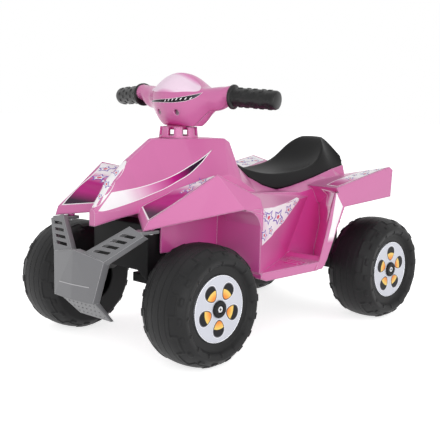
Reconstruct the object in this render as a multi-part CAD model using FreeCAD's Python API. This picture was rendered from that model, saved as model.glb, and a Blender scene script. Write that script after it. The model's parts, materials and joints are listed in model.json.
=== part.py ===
import FreeCAD, Part
import math
import os

os.makedirs("parts", exist_ok=True)

# A child's battery quad bike. Millimetres, +Z up, the front faces -Y and +X is the rider's left.
# The origin lies on the floor below the middle of the bike's outline.

# Overall layout
wheel_diameter = 200.0
wheel_width = 98.0
track_width = 328.0
wheelbase = 490.0
front_overhang = 135.0

# Clearances
running_clearance = 0.05
screw_clearance = 0.1
seat_gap = 0.3
link_pin_clearance = 0.3
cut_overrun = 2.0
flatness = 1.0e-8

# Wheels
tyre_wall = 4.0
back_lip_share = 0.45
rim_ring_share = 0.69
rim_lip_width = 5.0
rim_lip_round = 1.0
trim_share = 0.545
trim_thickness = 2.5
trim_set_in = 8.6
trim_lift = 1.0
trim_hole_diameter = 26.0
trim_clearance = 0.5
web_thickness = 5.0
hub_diameter = 32.0
axle_diameter = 10.0
cap_diameter = 28.0
cap_height = 4.0
cap_bevel = 1.5
cap_hole_diameter = 13.0
axle_screw_flange_diameter = 18.0
axle_screw_flange_thickness = 2.0
axle_screw_head_diameter = 10.0
axle_screw_head_height = 3.5
axle_screw_shank_diameter = 5.0
axle_screw_shank_length = 12.0
tread_shares = {"edge": 0.816, "shoulder": 0.922, "quarter": 0.977}
tread_place_shares = {"shoulder": 0.75, "quarter": 0.5}
back_lip_diameter = back_lip_share * wheel_diameter
rim_ring_diameter = rim_ring_share * wheel_diameter
trim_diameter = trim_share * wheel_diameter

# Moulded body
body_past_track = 16.0
body_past_wheelbase = 110.0
body_rise = 240.0
body_above_axle = 20.0
nose_ahead_of_axle = 94.0
body_wall = 3.0
floor_rib_height = 1.5
floor_rib_width = 4.0
floor_rib_length = 60.0
floor_rib_pitch = 12.0
floor_rib_count = 4
well_wall_share = 0.4333
post_hollow_share = 0.5
body_boss_diameter = 14.0
body_screw_length = 28.0

# Seat
seat_wall = 4.0
seat_inset = 1.0

# Chassis tray
tray_depth = 16.0
tray_wall = 4.0
tongue_half_width = 28.0
hump_top_share = 0.2083
axle_beam_length = 36.0
axle_beam_height = 30.0
wheel_side_gap = 3.0
rest_pad_width = 80.0
rest_pad_length = 60.0
rest_pad_height = 1.0

# Front bridge
bridge_to_well = 5.0
bridge_length = 54.0
bridge_top_share = 0.4167
bridge_arch_height = 23.0
bridge_arch_to_kingpin = 55.0
bridge_arch_foot_to_kingpin = 17.0
leg_past_kingpin = 8.5
leg_length = 42.0
leg_height = 27.0
leg_above_axle = 19.0

# Steering
kingpin_to_wheel = 14.0
kingpin_diameter = 12.0
knuckle_width = 16.0
knuckle_height = 34.0
steering_arm_length = 32.0
steering_arm_width = 16.0
steering_plate_thickness = 5.0
steering_pin_diameter = 8.0
link_thickness = 4.0
link_width = 16.0
link_tongue_half_width = 28.0
link_slot_half_width = 19.0
link_slot_length = 44.0
stub_collar_diameter = 22.0
column_behind_nose_share = 0.3233
column_diameter = 16.0
column_boss_diameter = 30.0
column_boss_height = 42.0
column_bush_diameter = 22.0
column_sleeve_diameter = 44.0
column_sleeve_height = 7.0
column_top_gap = 0.5

# Collar on the hood
collar_diameter = 70.0
collar_top_diameter = 66.0
collar_wall = 6.0
collar_height = 19.0
collar_base_height = 4.0
collar_window_width = 11.0
collar_window_cuts = 4
collar_half_turn = 180.0

# Handlebar
bar_diameter = 18.0
bar_half_length = 203.0
bar_above_hood = 78.92
bar_ahead_of_column = 8.0
bar_sweep_degrees = 12.5
bar_drop_degrees = 2.66
grip_length = 88.0
grip_diameter = 32.0
grip_flange_diameter = 42.0
grip_flange_thickness = 6.0
grip_end_wall = 3.0
grip_rib_count = 5
grip_rib_width = 8.0
grip_rib_height = 0.8
clamp_width = 32.0
clamp_depth = 34.0
clamp_height = 40.0
pod_wall = 3.0
pod_section_points = 12
pod_depth = 90.0
pod_behind_column = 7.0
pod_rise = 34.5
pod_drop = 62.0
pod_arm_diameter = 38.0
pod_under_grip = 3.0
pod_base_above_collar = 2.0
pod_screw_spacing = 44.0
pod_screw_above_base = 24.0
pod_boss_diameter = 10.0

# Screws
screw_head_diameter = 9.0
screw_head_height = 2.5
screw_diameter = 4.0

# Front bumper
bumper_half_width = 66.0
bumper_foot_half_width = 51.0
bumper_top_above_axle = 81.0
bumper_shoulder_drop = 12.0
bumper_height = 82.0
bumper_side_depth = 14.0
bumper_corner_set_back = 14.0
bumper_foot_set_back = 4.0
bumper_wall = 3.5
skid_half_width = 41.0
skid_length = 46.0
skid_drop = 38.0
skid_thickness = 6.0
arm_foot_inner_x = 17.0
arm_foot_inner_rise = 9.0
arm_top_inner_share = 0.489
arm_top_outer_share = 0.678
arm_set_back = 34.0
arm_inner_above_lug = 6.4
arm_outer_below_lug = 4.6
arm_depth = 12.0
arm_slot_count = 4
arm_slot_share = 0.5
arm_slot_slant_share = 0.09
arm_rail_share = 0.2
lug_inner_share = 0.511
lug_outer_share = 0.644
lug_length = 38.0
lug_thickness = 5.0
lug_gap = 1.0
lug_screw_from_end = 8.0
lug_boss_diameter = 12.0
bumper_screw_length = 16.0

# Drive
gear_module = 1.25
gear_backlash_share = 0.38
gear_tip_share = 0.8
gear_root_share = 1.15
output_teeth = 44
idler_small_teeth = 12
idler_large_teeth = 40
pinion_teeth = 10
idler_angle_degrees = 120.0
pinion_angle_degrees = 150.0
gear_width = 8.0
gear_gap = 2.0
output_sleeve_diameter = 20.0
idler_pin_diameter = 5.0
gearbox_wall = 2.5
gearbox_room = 3.0
gearbox_bay_width = 55.0
motor_diameter = 36.0
motor_length = 50.0
motor_nose_diameter = 14.0
motor_shaft_diameter = 3.2
motor_hole_room = 1.0

# Battery
battery_width = 70.0
battery_length = 48.0
battery_height = 100.0
battery_behind_column_share = 0.2833
terminal_size = 6.0
strap_width = 14.0
strap_thickness = 2.0
lead_diameter = 4.0
lead_rise = 14.0
lead_from_motor_end = 6.0
lead_spacing = 8.0
lead_arc_share = 0.45

# Foot pedal, on the right footboard
pedal_width = 30.0
pedal_length = 60.0
pedal_thickness = 5.0
pedal_tilt_degrees = 14.0
pedal_from_side = 26.0
pedal_before_floor_end = 2.0
pedal_pin_diameter = 5.0
pedal_pin_height = 9.0
pedal_ear_thickness = 4.0
pedal_base_thickness = 3.0
pedal_knuckle_diameter = 11.0
spring_diameter = 8.0
spring_wire = 1.0
spring_turns = 4
spring_from_pin = 18.0
spring_to_side = 8.0
switch_width = 8.0
switch_length = 14.0
switch_height = 6.0
switch_to_side = 2.0
switch_button_diameter = 3.0
switch_button_height = 1.0

# Places that follow from the sizes above
overall_length = front_overhang + wheelbase + wheel_diameter / 2
front_axle_y = front_overhang - overall_length / 2
rear_axle_y = front_axle_y + wheelbase
axle_z = wheel_diameter / 2
wheel_x = track_width / 2
body_base_z = axle_z + body_above_axle
body_length = wheelbase + body_past_wheelbase
body_half_width = wheel_x + body_past_track
nose_y = front_axle_y - nose_ahead_of_axle
column_y = nose_y + column_behind_nose_share * body_length
half_tyre = wheel_width / 2
wheel_inner_x = wheel_x - half_tyre
kingpin_x = wheel_inner_x - kingpin_to_wheel
hump_half_width = wheel_inner_x - gearbox_bay_width
tray_floor_z = body_base_z - tray_depth + tray_wall
leg_base_z = axle_z + leg_above_axle
steering_plate_z = leg_base_z + leg_height + seat_gap
hood_top_share = 0.992
hood_top_z = body_base_z + hood_top_share * body_rise
bar_z = hood_top_z + bar_above_hood
bar_y = column_y - bar_ahead_of_column
pod_base_z = hood_top_z + collar_height + pod_base_above_collar
pod_half_width = bar_half_length - grip_length + pod_under_grip

# Half sections of hood, tank and seat base from nose to tail. Each row holds the place along the
# body, the height of the centre line, then crest, flank and lower edge as width and height shares.
spine_shares = [
    (0.002, 0.517, (0.022, 0.510), (0.039, 0.492), (0.039, 0.400)),
    (0.067, 0.715, (0.067, 0.710), (0.145, 0.510), (0.150, 0.455)),
    (0.125, 0.848, (0.030, 0.843), (0.217, 0.547), (0.229, 0.490)),
    (0.210, 0.990, (0.022, 0.985), (0.294, 0.629), (0.311, 0.542)),
    (0.298, 0.992, (0.172, 0.992), (0.389, 0.692), (0.400, 0.592)),
    (0.390, 0.992, (0.289, 0.992), (0.489, 0.733), (0.500, 0.592)),
    (0.417, 0.992, (0.328, 0.992), (0.506, 0.713), (0.517, 0.562)),
    (0.438, 0.963, (0.333, 0.963), (0.517, 0.683), (0.528, 0.000)),
    (0.498, 0.769, (0.278, 0.769), (0.522, 0.600), (0.528, 0.000)),
    (0.533, 0.692, (0.300, 0.692), (0.528, 0.567), (0.528, 0.000)),
    (0.590, 0.617, (0.356, 0.617), (0.528, 0.550), (0.528, 0.000)),
    (0.647, 0.575, (0.389, 0.575), (0.528, 0.542), (0.528, 0.000)),
    (0.715, 0.596, (0.394, 0.596), (0.528, 0.558), (0.528, 0.000)),
    (0.782, 0.625, (0.389, 0.625), (0.528, 0.583), (0.528, 0.000)),
    (0.858, 0.662, (0.383, 0.662), (0.522, 0.604), (0.522, 0.000)),
    (0.940, 0.708, (0.372, 0.708), (0.472, 0.617), (0.444, 0.217)),
    (1.012, 0.733, (0.350, 0.733), (0.389, 0.617), (0.322, 0.217)),
    (1.033, 0.642, (0.333, 0.642), (0.339, 0.592), (0.300, 0.217)),
]

# Left front fender, rings from its front face to the leg shield: inner crest, outer crest,
# outer lower edge, inner lower edge, as shares of half width, length and rise.
front_fender_shares = [
    [(0.156, 0.135, 0.529), (0.656, 0.032, 0.483), (0.639, 0.018, 0.419), (0.167, 0.122, 0.471)],
    [(0.222, 0.212, 0.608), (0.739, 0.132, 0.625), (0.833, 0.165, 0.483), (0.278, 0.212, 0.492)],
    [(0.333, 0.332, 0.700), (0.828, 0.235, 0.775), (1.006, 0.290, 0.537), (0.361, 0.298, 0.500)],
    [(0.444, 0.423, 0.667), (0.956, 0.372, 0.600), (1.000, 0.380, 0.480), (0.389, 0.410, 0.470)],
]

# Left leg shield, rings from the bottom up: inner front, outer front, outer rear, inner rear
leg_shield_shares = [
    [(0.411, 0.390, 0.000), (0.967, 0.400, 0.000), (0.511, 0.642, 0.000), (0.411, 0.642, 0.000)],
    [(0.411, 0.362, 0.071), (1.000, 0.362, 0.071), (0.517, 0.660, 0.071), (0.411, 0.660, 0.071)],
    [(0.411, 0.362, 0.517), (1.000, 0.362, 0.517), (0.528, 0.752, 0.517), (0.411, 0.752, 0.517)],
    [(0.411, 0.382, 0.617), (0.611, 0.440, 0.600), (0.517, 0.723, 0.560), (0.411, 0.723, 0.560)],
]

# Left footboard, rings from front to rear: inner bottom, outer bottom, outer top, inner top
footboard_shares = [
    [(0.444, 0.372, 0.022), (0.989, 0.372, 0.022), (1.000, 0.372, 0.067), (0.444, 0.372, 0.067)],
    [(0.444, 0.398, 0.000), (0.989, 0.398, 0.000), (1.000, 0.398, 0.067), (0.444, 0.398, 0.067)],
    [(0.444, 0.635, 0.000), (0.989, 0.635, 0.000), (1.000, 0.635, 0.067), (0.444, 0.635, 0.067)],
    [(0.444, 0.670, 0.029), (1.000, 0.670, 0.033), (1.000, 0.670, 0.092), (0.444, 0.670, 0.092)],
]

# Left post behind the footwell, rings from the bottom up: front inner, front outer, rear outer, rear inner
rear_post_shares = [
    [(0.472, 0.815, 0.008), (1.000, 0.622, 0.008), (1.000, 0.655, 0.008), (0.472, 0.828, 0.008)],
    [(0.472, 0.815, 0.067), (1.000, 0.638, 0.067), (1.000, 0.677, 0.067), (0.472, 0.832, 0.067)],
    [(0.472, 0.837, 0.271), (1.000, 0.667, 0.271), (1.000, 0.718, 0.271), (0.472, 0.857, 0.271)],
    [(0.472, 0.828, 0.475), (1.000, 0.692, 0.475), (1.000, 0.762, 0.475), (0.472, 0.848, 0.475)],
    [(0.472, 0.825, 0.583), (1.000, 0.708, 0.583), (1.000, 0.773, 0.583), (0.472, 0.852, 0.583)],
]

# Left rear fender, outer and inner ring: front top, rear top, rear corner, rear bottom, front bottom
rear_fender_shares = [
    [(1.0, 0.712, 0.625), (1.0, 1.002, 0.754), (1.0, 1.023, 0.725), (1.0, 1.018, 0.504),
     (1.0, 0.762, 0.467)],
    [(0.25, 0.798, 0.592), (0.25, 0.995, 0.637), (0.25, 1.010, 0.608), (0.25, 1.005, 0.483),
     (0.25, 0.832, 0.450)],
]

# Side wall of the front wheel well: front low, rear low, rear high, front high, as length and rise shares
well_wall_shares = [(0.140, 0.217), (0.375, 0.217), (0.375, 0.640), (0.140, 0.500)]

# Seat: place along the body, height of the pan, then half width and height of the rim
seat_shares = [
    (0.498, 0.788, 0.244, 0.796),
    (0.533, 0.725, 0.267, 0.750),
    (0.590, 0.683, 0.311, 0.713),
    (0.647, 0.667, 0.333, 0.700),
    (0.715, 0.667, 0.339, 0.704),
    (0.782, 0.675, 0.339, 0.717),
    (0.858, 0.704, 0.328, 0.750),
    (0.903, 0.783, 0.300, 0.833),
    (0.935, 0.900, 0.250, 0.918),
    (0.962, 0.984, 0.110, 0.984),
    (0.990, 0.968, 0.140, 0.950),
    (1.012, 0.825, 0.317, 0.804),
]

# Handlebar pod: place along the arm, then rise, drop and depth as shares of the pod's own
pod_section_shares = [
    (0.0, 1.0, 1.0, 1.0),
    (0.16, 0.9, 1.0, 0.97),
    (0.3, 0.62, 0.97, 0.86),
    (0.45, 0.38, 0.72, 0.66),
    (0.62, 0.38, 0.45, 0.5),
    (0.8, 0.46, 0.34, 0.44),
]

# Places along the body of the screws that hold it to the tray
body_screw_shares = [0.46, 0.62, 0.80]


def vector(x, y, z):
    return FreeCAD.Vector(x, y, z)


def mirrored(shape):
    return shape.mirror(vector(0, 0, 0), vector(1, 0, 0))


def body_point(shares):
    """A point of the moulded body from its width, length and rise shares."""
    return vector(shares[0] * body_half_width, nose_y + shares[1] * body_length,
                  body_base_z + shares[2] * body_rise)


def body_rings(table):
    return [[body_point(shares) for shares in ring] for ring in table]


def flat_face(points):
    return Part.Face(Part.makePolygon(points + [points[0]]))


def side_faces(a, b, c, d):
    """One flat face through four corners, or two triangles along the shorter diagonal."""
    normal = (b - a).cross(c - a)
    if abs(normal.normalize().dot(d - a)) < flatness:
        return [flat_face([a, b, c, d])]
    if (c - a).Length <= (d - b).Length:
        return [flat_face([a, b, c]), flat_face([a, c, d])]
    return [flat_face([a, b, d]), flat_face([b, c, d])]


def end_faces(ring):
    """Triangles that close one end of a ringed block, from its first corner."""
    return [flat_face([ring[0], ring[i], ring[i + 1]]) for i in range(1, len(ring) - 1)]


def ringed_block(rings):
    """A closed solid through rings of corners."""
    faces = end_faces(rings[0]) + end_faces(rings[-1])
    count = len(rings[0])
    for near, far in zip(rings, rings[1:]):
        for i in range(count):
            j = (i + 1) % count
            faces += side_faces(near[i], near[j], far[j], far[i])
    solid = Part.Solid(Part.Shell(faces))
    if solid.Volume < 0:
        solid.reverse()
    return solid.removeSplitter()


def middle(points):
    total = vector(0, 0, 0)
    for point in points:
        total = total + point
    return total * (1.0 / len(points))


def outward(points, inside):
    """Unit normal of a patch, pointing away from a point inside the block."""
    normal = (points[2] - points[0]).cross(points[3] - points[1])
    normal.normalize()
    if normal.dot(middle(points) - inside) < 0:
        normal = normal * -1
    return normal


def moved_corner(corner, planes):
    """The corner after each plane (normal, shift) around it has moved along its normal."""
    damping = running_clearance / wheel_diameter
    rows = [vector(damping, 0, 0), vector(0, damping, 0), vector(0, 0, damping)]
    sums = [0.0, 0.0, 0.0]
    for normal, shift in planes:
        parts = (normal.x, normal.y, normal.z)
        for k in range(3):
            rows[k] = rows[k] + normal * parts[k]
            sums[k] += parts[k] * shift
    crosses = (rows[1].cross(rows[2]), rows[2].cross(rows[0]), rows[0].cross(rows[1]))
    share = 1.0 / rows[0].dot(crosses[0])
    return corner + (crosses[0] * sums[0] + crosses[1] * sums[1] + crosses[2] * sums[2]) * share


def inner_rings(rings, wall, open_sides, open_first, open_last):
    """Rings of the hollow inside a block: closed patches move in by the wall, open ones out."""
    count = len(rings[0])
    planes = {}
    for r in range(len(rings) - 1):
        inside = middle(rings[r] + rings[r + 1])
        for i in range(count):
            j = (i + 1) % count
            patch = [rings[r][i], rings[r][j], rings[r + 1][j], rings[r + 1][i]]
            shift = cut_overrun if i in open_sides else -wall
            for key in ((r, i), (r, j), (r + 1, i), (r + 1, j)):
                planes.setdefault(key, []).append((outward(patch, inside), shift))
    for r, neighbour, is_open in ((0, 1, open_first), (len(rings) - 1, len(rings) - 2, open_last)):
        ring = rings[r]
        patch = [ring[0], ring[1], ring[2], ring[3]]
        normal = outward(patch, middle(rings[neighbour]))
        for i in range(count):
            planes[(r, i)].append((normal, cut_overrun if is_open else -wall))
    return [[moved_corner(rings[r][i], planes[(r, i)]) for i in range(count)] for r in range(len(rings))]


def cylinder(radius, start, direction, length):
    return Part.makeCylinder(radius, length, start, direction)


def box(low_x, high_x, low_y, high_y, low_z, high_z):
    return Part.makeBox(high_x - low_x, high_y - low_y, high_z - low_z, vector(low_x, low_y, low_z))


def joined(shapes):
    return shapes[0].multiFuse(shapes[1:]).removeSplitter()


def across(radius, x0, x1, y, z):
    """A cylinder along X between two places."""
    return cylinder(radius, vector(x0, y, z), vector(1, 0, 0), x1 - x0)


def upright(radius, x, y, z0, z1):
    return cylinder(radius, vector(x, y, z0), vector(0, 0, 1), z1 - z0)


def along(radius, x, z, y0, y1):
    return cylinder(radius, vector(x, y0, z), vector(0, 1, 0), y1 - y0)


def save(shape, node):
    shape.exportStep("parts/" + node + ".step")


def pan_screw(start, direction, length):
    """A pan-head screw whose head sits on start, with the shank along direction."""
    top = start - direction * screw_head_height
    head = cylinder(screw_head_diameter / 2, top, direction, screw_head_height)
    shank = cylinder(screw_diameter / 2, start, direction, length)
    return head.fuse(shank).removeSplitter()


def screw_hole(start, direction, length):
    return cylinder(screw_diameter / 2 + screw_clearance, start, direction, length)


# Wheels

def wheel_profile(points):
    """Turn a list of (outboard, radius) corners and arcs about the wheel's axis."""
    edges = []
    at = points[0]
    for step in points[1:] + [points[0]]:
        ends = step if isinstance(step[0], tuple) else (step,)
        corners = [vector(p[0], 0, p[1]) for p in (at,) + ends]
        if len(corners) == 3:
            edges.append(Part.Arc(*corners).toShape())
        else:
            edges.append(Part.LineSegment(*corners).toShape())
        at = ends[-1]
    return Part.Face(Part.Wire(edges)).revolve(vector(0, 0, 0), vector(1, 0, 0), 360)


trim_seat = half_tyre - trim_set_in - trim_thickness


def make_tyre():
    radius = wheel_diameter / 2
    edge = radius * tread_shares["edge"]
    shoulder = radius * tread_shares["shoulder"]
    quarter = radius * tread_shares["quarter"]
    shoulder_x = half_tyre * tread_place_shares["shoulder"]
    quarter_x = half_tyre * tread_place_shares["quarter"]
    ring_floor = trim_seat + trim_thickness - trim_lift
    ring_radius = rim_ring_diameter / 2
    trim_radius = trim_diameter / 2 + trim_clearance
    bore = axle_diameter / 2 + running_clearance
    web = trim_seat - web_thickness
    return wheel_profile([
        (-half_tyre, edge),
        ((-shoulder_x, shoulder), (-quarter_x, quarter)),
        ((0.0, radius), (quarter_x, quarter)),
        ((shoulder_x, shoulder), (half_tyre, edge)),
        (half_tyre - rim_lip_round, ring_radius + rim_lip_width),
        (ring_floor, ring_radius),
        (ring_floor, trim_radius),
        (trim_seat, trim_radius),
        (trim_seat, bore),
        (-half_tyre, bore),
        (-half_tyre, hub_diameter / 2),
        (web, hub_diameter / 2),
        (web, ring_radius),
        (quarter_x, quarter - tyre_wall),
        (-quarter_x, quarter - tyre_wall),
        (-half_tyre + tyre_wall, edge - tyre_wall),
        (-half_tyre + tyre_wall, back_lip_diameter / 2),
        (-half_tyre, back_lip_diameter / 2),
    ])


def make_trim():
    face = trim_seat + trim_thickness
    return wheel_profile([
        (trim_seat, trim_hole_diameter / 2),
        (trim_seat, trim_diameter / 2),
        (face, trim_diameter / 2),
        (face, trim_hole_diameter / 2),
    ])


def make_cap():
    face = trim_seat + trim_thickness
    tip = face + cap_height
    return wheel_profile([
        (face, cap_hole_diameter / 2),
        (face, cap_diameter / 2),
        (tip - cap_bevel, cap_diameter / 2),
        (tip, cap_diameter / 2 - cap_bevel),
        (tip, cap_hole_diameter / 2),
    ])


axle_end = trim_seat + seat_gap


def make_axle_screw():
    flange = across(axle_screw_flange_diameter / 2, axle_end, axle_end + axle_screw_flange_thickness, 0, 0)
    head_start = axle_end + axle_screw_flange_thickness
    head = across(axle_screw_head_diameter / 2, head_start, head_start + axle_screw_head_height, 0, 0)
    shank = across(axle_screw_shank_diameter / 2, axle_end - axle_screw_shank_length, axle_end, 0, 0)
    return joined([flange, head, shank])


def axle_screw_bore():
    radius = axle_screw_shank_diameter / 2 + screw_clearance
    return across(radius, axle_end - axle_screw_shank_length - cut_overrun, axle_end + cut_overrun, 0, 0)


def on_wheel(shape, side, axle_y):
    """Put a piece made about the left wheel's middle on a wheel: side is 1 on the left, -1 on the right."""
    placed = shape if side > 0 else mirrored(shape)
    return placed.translated(vector(side * wheel_x, axle_y, axle_z))


wheel_pieces = {"tyre": make_tyre(), "trim": make_trim(), "hub_cap": make_cap()}
axle_screw = make_axle_screw()
for end_name, end_y in (("front", front_axle_y), ("rear", rear_axle_y)):
    for side_name, side in (("left", 1), ("right", -1)):
        for piece_name, piece in wheel_pieces.items():
            save(on_wheel(piece, side, end_y), end_name + "_" + side_name + "_" + piece_name)


# Moulded body

def spine_ring(row):
    """Full section of hood, tank or seat base from its half section."""
    place, centre, crest, flank, low = row
    half = [(crest[0], place, crest[1]), (flank[0], place, flank[1]), (low[0], place, low[1])]
    left = [body_point(shares) for shares in half]
    right = [vector(-p.x, p.y, p.z) for p in reversed(left)]
    return [body_point((0, place, centre))] + left + right


def both_sides(shape):
    return [shape, mirrored(shape)]


def make_body_shell():
    outer = []
    inner = []
    spine = [spine_ring(row) for row in spine_shares]
    outer.append(ringed_block(spine))
    inner.append(ringed_block(inner_rings(spine, body_wall, (3,), False, False)))
    tables = (
        (front_fender_shares, (2,), False, True),
        (leg_shield_shares, (), True, False),
        (footboard_shares, (0,), False, True),
        (rear_fender_shares, (3,), False, True),
    )
    for table, open_sides, open_first, open_last in tables:
        rings = body_rings(table)
        outer += both_sides(ringed_block(rings))
        inner += both_sides(ringed_block(inner_rings(rings, body_wall, open_sides, open_first, open_last)))
    outer += both_sides(ringed_block(body_rings(rear_post_shares)))
    inner += both_sides(post_hollow())
    well = [body_point((0, y, z)) for y, z in well_wall_shares]
    well_x = well_wall_share * body_half_width - body_wall
    well_face = flat_face([vector(well_x, p.y, p.z) for p in well])
    well_wall = well_face.extrude(vector(body_wall, 0, 0))
    whole = joined(outer)
    shell = whole
    for hollow in inner:
        shell = shell.cut(hollow)
    column_hole = upright(column_sleeve_diameter / 2, 0, column_y, hood_top_z - body_rise / 4,
                          hood_top_z + cut_overrun)
    shell = joined([shell.cut(column_hole)] + both_sides(well_wall) + body_bosses(whole) + floor_ribs())
    for place in body_screw_places():
        for side in (1, -1):
            start = vector(side * place.x, place.y, tray_floor_z)
            shell = shell.cut(screw_hole(start, vector(0, 0, 1), body_screw_length))
    for place in bumper_screw_places():
        shell = shell.cut(screw_hole(place, vector(0, 0, 1), bumper_screw_length + screw_clearance))
    gearbox_notch = gearbox_block(-gearbox_room, gearbox_outer_x, gearbox_inner_x)
    pedal_seat = pedal_plate(floor_rib_height)
    return shell.cut(gearbox_notch).cut(pedal_seat)


def post_hollow():
    """The room inside the thicker, outer part of a rear post."""
    rings = []
    wall = vector(0, body_wall, 0)
    side = vector(-body_wall, 0, 0)
    for front_inner, front_outer, rear_outer, rear_inner in body_rings(rear_post_shares):
        front_start = front_inner + (front_outer - front_inner) * post_hollow_share
        rear_start = rear_inner + (rear_outer - rear_inner) * post_hollow_share
        rings.append([front_start + wall * 2, front_outer + side + wall * 3, rear_outer + side - wall,
                      rear_start - wall * 2])
    rings[0] = [point - vector(0, 0, cut_overrun) for point in rings[0]]
    rings[-1] = [point + vector(0, 0, cut_overrun) for point in rings[-1]]
    return ringed_block(rings)


tray_half_width = spine_shares[9][3][0] * body_half_width
boss_x = tray_half_width - tray_wall - body_boss_diameter / 2


def body_screw_places():
    return [vector(boss_x, nose_y + share * body_length, body_base_z) for share in body_screw_shares]


def body_bosses(whole):
    """Screw posts from the tray's floor up to the inside of the body's skin."""
    bosses = []
    for place in body_screw_places():
        radius = body_boss_diameter / 2
        upper = upright(radius, place.x, place.y, body_base_z, hood_top_z).common(whole)
        lower = upright(radius, place.x, place.y, tray_floor_z, body_base_z + body_wall)
        bosses += both_sides(joined([upper, lower]))
    for place in bumper_screw_places():
        radius = lug_boss_diameter / 2
        bosses.append(upright(radius, place.x, place.y, lug_top_z, hood_top_z).common(whole))
        bosses.append(upright(radius, place.x, place.y, lug_top_z, lug_top_z + lug_boss_diameter))
    return bosses


def floor_ribs():
    """Grip ribs across the footboards."""
    floor_top = body_point(footboard_shares[2][2])
    ribs = []
    for k in range(floor_rib_count):
        rear = floor_top.y - k * floor_rib_pitch
        rib = box(body_half_width - body_wall - floor_rib_length, body_half_width - body_wall,
                  rear - floor_rib_width, rear, floor_top.z - body_wall / 2, floor_top.z + floor_rib_height)
        ribs += both_sides(rib)
    return ribs


# Seat

def base_row(place):
    """Half width and height shares of the seat base at a place along the body."""
    for near, far in zip(spine_shares, spine_shares[1:]):
        if near[0] <= place <= far[0]:
            share = (place - near[0]) / (far[0] - near[0])
            return [near[2][k] + share * (far[2][k] - near[2][k]) for k in (0, 1)]


def seat_rings():
    rings = []
    places = sorted(set([row[0] for row in seat_shares]) | set(
        [row[0] for row in spine_shares if seat_shares[0][0] <= row[0] <= seat_shares[-1][0]]))
    for place in places:
        pan, rim_x, rim_z = seat_at(place)
        base_x, base_z = base_row(place)
        rim = body_point((rim_x, place, rim_z))
        low = body_point((base_x, place, base_z))
        low.x = low.x - seat_inset
        rings.append([body_point((0, place, pan)), rim, low, vector(-low.x, low.y, low.z),
                      vector(-rim.x, rim.y, rim.z)])
    return rings


def seat_at(place):
    for near, far in zip(seat_shares, seat_shares[1:]):
        if near[0] <= place <= far[0]:
            share = (place - near[0]) / (far[0] - near[0])
            return [near[k] + share * (far[k] - near[k]) for k in (1, 2, 3)]


def make_seat():
    rings = seat_rings()
    hollow = ringed_block(inner_rings(rings, seat_wall, (2,), False, False))
    return ringed_block(rings).cut(hollow)


save(make_seat(), "seat")


# Chassis tray

tray_front = nose_y + leg_shield_shares[0][1][1] * body_length
tray_rear = nose_y + spine_shares[14][0] * body_length
tray_base_z = body_base_z - tray_depth
bridge_rear = front_axle_y + leg_length / 2
beam_front = rear_axle_y - axle_beam_length / 2
beam_rear = rear_axle_y + axle_beam_length / 2
gearbox_inner_x = -hump_half_width - seat_gap
battery_front = column_y + battery_behind_column_share * body_length


def make_tray():
    pan = box(-tray_half_width, tray_half_width, tray_front, tray_rear, tray_base_z, body_base_z)
    room = box(-tray_half_width + tray_wall, tray_half_width - tray_wall, tray_front + tray_wall,
               tray_rear - tray_wall, tray_floor_z, body_base_z + cut_overrun)
    tongue = box(-tongue_half_width, tongue_half_width, bridge_rear, tray_front + tray_wall, tray_base_z,
                 body_base_z)
    boss = upright(column_boss_diameter / 2, 0, column_y, tray_base_z, tray_base_z + column_boss_height)
    hump_top = body_base_z + hump_top_share * body_rise
    hump = box(-hump_half_width, hump_half_width, tray_rear - tray_wall, beam_rear, tray_base_z, hump_top)
    room_half = hump_half_width - tray_wall
    hump_room = box(-room_half, room_half, tray_rear, beam_rear - tray_wall, tray_floor_z + tray_wall,
                    hump_top + cut_overrun)
    beam = box(gearbox_inner_x + seat_gap, wheel_inner_x - wheel_side_gap, beam_front, beam_rear,
               axle_z - axle_beam_height / 2, axle_z + axle_beam_height / 2)
    pad_y = (tray_front + tray_rear - rest_pad_length) / 2
    pad = box(-rest_pad_width / 2, rest_pad_width / 2, pad_y, pad_y + rest_pad_length,
              tray_base_z - rest_pad_height, tray_floor_z)
    tray = joined([pan.cut(room), tongue, boss, hump.cut(hump_room), beam, pad])
    bush_hole = upright(column_bush_diameter / 2, 0, column_y, tray_floor_z,
                        tray_base_z + column_boss_height + cut_overrun)
    axle_hole = across(axle_diameter / 2 + running_clearance, -wheel_x, wheel_x, rear_axle_y, axle_z)
    motor_hole = across(motor_diameter / 2 + motor_hole_room, -wheel_x, 0, pinion_y, pinion_z)
    tray = tray.cut(bush_hole).cut(axle_hole).cut(motor_hole)
    for place in body_screw_places():
        for side in (1, -1):
            start = vector(side * place.x, place.y, tray_base_z - cut_overrun)
            tray = tray.cut(screw_hole(start, vector(0, 0, 1), tray_wall + 2 * cut_overrun))
    return tray


def make_body_screws():
    screws = []
    length = body_screw_length + tray_wall - screw_clearance
    for place in body_screw_places():
        for side in (1, -1):
            screws.append(pan_screw(vector(side * place.x, place.y, tray_base_z), vector(0, 0, 1), length))
    return Part.makeCompound(screws)


# Gear train: output gear on the axle, compound idler above it, pinion on the motor

def centre_distance(first, second):
    return gear_module * (first + second) / 2


idler_angle = math.radians(idler_angle_degrees)
pinion_angle = math.radians(pinion_angle_degrees)
idler_reach = centre_distance(output_teeth, idler_small_teeth)
pinion_reach = centre_distance(idler_large_teeth, pinion_teeth)
idler_y = rear_axle_y + idler_reach * math.cos(idler_angle)
idler_z = axle_z + idler_reach * math.sin(idler_angle)
pinion_y = idler_y + pinion_reach * math.cos(pinion_angle)
pinion_z = idler_z + pinion_reach * math.sin(pinion_angle)

gearbox_outer_x = -wheel_inner_x + wheel_side_gap
first_gear_x = gearbox_inner_x - gearbox_wall - gear_gap
second_gear_x = first_gear_x - gear_width - gear_gap


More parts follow.
